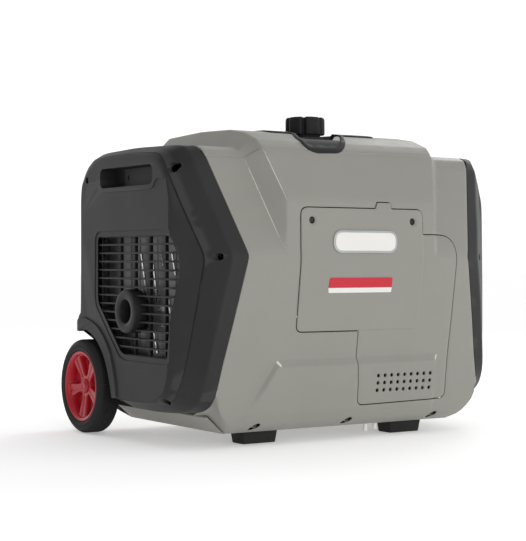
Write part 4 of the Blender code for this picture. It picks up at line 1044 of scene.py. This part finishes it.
# ---- filler tray and cap
TONGUE = [(-.078, -.128), (-.0965, -.173), (-.0995, -.195), (-.092, -.2085), (-.078, -.2115),
          (-.025, -.2105), (-.009, -.202), (.003, -.19), (.022, -.158), (.04, -.128)]
BASIN = rect(-.083, -.105, .073, .075, .018)


def filler():
    outline = soft([(-.118, .1, .016), (-.118, -.128, .014), (-.078, -.128, .01)]
                   + [(x, y, .014) for x, y in TONGUE[1:-1]]
                   + [(.04, -.128, .01), (.118, -.128, .014), (.118, .1, .016)], 5)
    outline = dense(outline, .005)
    basin = dense(soft(BASIN, 8), .005)
    tongue = dense(soft([(-.074, -.095, .002)] + [(x, y, .014) for x, y in TONGUE] + [(.036, -.095, .002)],
                        5), .005)
    channel = inset(tongue, .0062)

    def height(x, y):
        p = np.c_[x, y]
        z = top_surf(x, y)
        base = z + .0026
        in_tongue = within(p, tongue) & (y < -.1)
        t = smooth(np.clip(np.where(within(p, channel), reach(p, channel), 0) / .0028, 0, 1))
        bed = np.interp(y, (-.2115, -.2, -.186, -.17, -.15, -.12, -.09),
                        (.5245, .5325, .542, .5465, .5495, .552, .5515))
        bed = np.where(y < -.172, z + .0012, np.minimum(bed, z + .0012))
        rim = z + .0052
        lip = np.where(in_tongue, rim + (bed - rim) * t, base)
        q = smooth(np.clip(np.where(within(p, basin), reach(p, basin), 0) / .0045, 0, 1))
        return np.minimum(lip, base + (.5515 - base) * q)

    pts = [rows(np.arange(-.117, .118, .006), np.arange(-.213, .1, .006))]
    for d in (-.0005, .0008, .0016, .0024, .0032, .0042, .0052):
        pts.append(np.array(inset(basin, d)))
    for d in (-.0012, -.0004, .0004, .0012, .002, .003):
        pts.append(np.array(inset(channel, d)))
    neck = circle(0.0, CAP_Y, .0285, 36)
    panel("filler_tray", outline, [neck], np.vstack(pts), lambda x, y: np.c_[x, y, height(x, y)], (0, 0, -1),
          "cap_black", "frame", ("fuel_tray",), wall=.0035, roll=.001, sharp=50)

    n, lobes = 216, 6
    theta = 2 * np.pi * np.arange(n) / n
    valley = np.maximum(0, np.cos(lobes * theta + .9)) ** 5
    ribs = .00022 * np.cos(72 * theta)
    rings = []
    for r, dip, z, rib in ((.03, 0, .5645, 0), (.0352, .0046, .5646, 0), (.0366, .0058, .5656, .4),
                           (.0371, .0062, .568, 1), (.0371, .0062, .58, 1), (.037, .0062, .592, 1),
                           (.0366, .006, .5946, .6), (.0356, .0056, .5966, .2), (.034, .005, .5977, 0),
                           (.0315, .004, .598, 0), (.0285, .0016, .5972, 0), (.0262, 0, .5958, 0),
                           (.024, 0, .5952, 0), (.012, 0, .5952, 0)):
        q = r - dip * valley + rib * ribs * (1 - valley)
        drop = .0016 * valley * (.026 < r < .036) * (z > .59)
        rings.append(np.c_[q * np.cos(theta), CAP_Y + q * np.sin(theta), z - drop])
    faces = ring_faces(len(rings), n) + caps(len(rings), n)
    add("filler_cap_grip", np.vstack(rings), faces, "cap_black", "filler_cap", ("fuel_cap",), 32)


# ---- plates and labels
def badge(name, outline, proud, mat, roll=.0004):
    """Thin plate that follows the service cover."""
    outline = dense(outline, .004)
    lo, hi = np.min(outline, 0), np.max(outline, 0)
    pts = rows(np.arange(lo[0], hi[0], .004), np.arange(lo[1], hi[1], .004))
    panel(name, outline, [], pts, lambda x, z: np.c_[x, service_surf(x, z) - cover_relief(x, z) - proud, z],
          (0, 1, 0), mat, "service_cover", (), wall=proud - .0001, roll=roll)


def badges():
    plate = soft(rect(-.068, .34, .074, .381, .02), 9)
    badge("plate_rim", plate, .0022, "alloy", .0009)
    badge("plate_field", inset(plate, .0042), .0027, "label_white")
    badge("strip_red", soft([(-.0745, .2785, .0006), (.0665, .2785, .0006), (.0665, .296, .003),
                             (-.0725, .296, .003)], 5), .0009, "label_red", .0003)
    badge("strip_white", soft([(-.0745, .269, .003), (.0655, .269, .003), (.0665, .278, .0006),
                               (-.0752, .278, .0006)], 5), .0009, "label_white", .0003)


for side in (-1, 1):
    wheel(side)
filler()
badges()


# ---- carried-over nodes
# nodes kept as they are, by look; then nodes whose edges are rounded: look, bevel, smoothing angle
KEPT = {"crankcase cylinder valve_cover carburettor recoil_housing inverter_module": "alloy",
        # the heat shield gets the dark metal look partly as painted shade behind the grille
        "muffler heat_shield": "dark_metal", "crankshaft axle": "steel", "stator": "copper",
        "isolator_front isolator_rear cap_gasket": "dark_rubber",
        "flywheel_fan air_box air_box_lid battery": "cover_black", "spark_plug": "ceramic_white",
        "oil_dipstick": "oil_yellow", "fuel_tank": "tank_plastic", "recoil_cord": "cord"}
ROUNDED = (("cover_screw_l cover_screw_r", "dark_metal", .0003), ("foot_l foot_r", "dark_rubber", .0015),
           ("base_tray", "shell_grey", .0008), ("drain_tube_a drain_tube_b", "label_white", .0003),
           ("guide_sleeve_l guide_sleeve_r", "cover_black", .0006), ("handle_frame", "tube_alloy", .0002, 40),
           ("handle_grip", "dark_rubber", .0008, 40), ("handle_release", "red_button", .0006),
           ("control_panel", "panel", .0005), ("display_lens", "lens", .0005),
           ("start_button", "green_button", .0005), ("run_knob", "cap_black", .0005),
           ("eco_rocker", "socket_black", .0004), ("breaker_1", "red_button", .0004),
           ("breaker_2", "white_button", .0004),
           ("duplex_outlets outlet_locking usb_ports parallel_ports", "socket_black", .0003),
           ("ground_post", "steel", .0003), ("recoil_grip", "dark_rubber", .0012))
for names, look in KEPT.items():
    for name in names.split():
        NODES[name].data.materials.clear()
        NODES[name].data.materials.append(MAT[look])
for names, *look in ROUNDED:
    for name in names.split():
        refined(name, *look)


# ---- stage, light and camera
def white_floor():
    mat, tree, bsdf = principled("floor")
    tone = node(tree, "ValToRGB", {"Fac": node(tree, "TexNoise", {"Scale": 3.0}).outputs["Fac"]})
    tone.color_ramp.elements[0].color = (.94, .94, .94, 1)
    tone.color_ramp.elements[1].color = (.96, .96, .96, 1)
    feed(tree, bsdf, {"Base Color": tone.outputs["Color"], "Emission Color": (1.0, 1.0, 1.0, 1),
                      "Emission Strength": .3, "Roughness": .9, "Specular IOR Level": .1})
    size, z = 30, -.0006
    floor = blank("floor", [(u, v, z) for u, v in rect(-size, -size, size, size)], [(0, 1, 2, 3)])
    floor.data.materials.append(mat)


def sky():
    """White surroundings that fade upwards and towards the exhaust end."""
    world = bpy.data.worlds.new("studio")
    bpy.context.scene.world = world
    world.use_nodes = True
    tree = world.node_tree
    ray = node(tree, "SeparateXYZ", {"Vector": node(tree, "TexCoord").outputs["Generated"]})
    fade = [node(tree, "MapRange", {"From Min": a, "From Max": b, "To Min": low, "To Max": high,
                                    "Value": ray.outputs[axis]}).outputs["Result"]
            for axis, a, b, low, high in (("Z", .22, .85, 1.0, .62), ("X", -.95, -.2, .25, 1.0))]
    both = node(tree, "Math")
    both.operation = "MULTIPLY"
    tree.links.new(fade[0], both.inputs[0])
    tree.links.new(fade[1], both.inputs[1])
    feed(tree, tree.nodes["Background"], {"Strength": 1.12, "Color": both.outputs["Value"]})


def lamp(name, place, aim, size, power):
    data = bpy.data.lights.new(name, "AREA")
    data.energy, data.size, data.shape = power, size, "SQUARE"
    ob = placed(name, data)
    ob.location = place
    ob.rotation_euler = (Vector(aim) - Vector(place)).to_track_quat("-Z", "Y").to_euler()


def camera():
    cam = bpy.data.cameras.new("camera")
    cam.sensor_width, cam.lens, cam.shift_y = 36.0, 99.05, -.0177
    cam.clip_start, cam.clip_end = .05, 100.0
    rig = placed("camera", cam)
    rig.location = (-1.605, -2.398, .326)
    rig.rotation_mode = "QUATERNION"
    rig.rotation_quaternion = Vector((.543, .8398, 0.0)).to_track_quat("-Z", "Y")
    bpy.context.scene.camera = rig
    bpy.context.scene.view_settings.view_transform = "Standard"


white_floor()
sky()
lamp("key", (1.9, 1.0, 2.1), (0, 0, .2), 1.0, 14)
lamp("front", (-.7, -2.9, .4), (0, 0, .25), 1.2, 15)
lamp("side", (2.7, -.7, .6), (.2, -.2, .35), .8, 6)
lamp("edge", (-.4, 2.7, .6), (-.34, .18, .3), .6, 4)
camera()
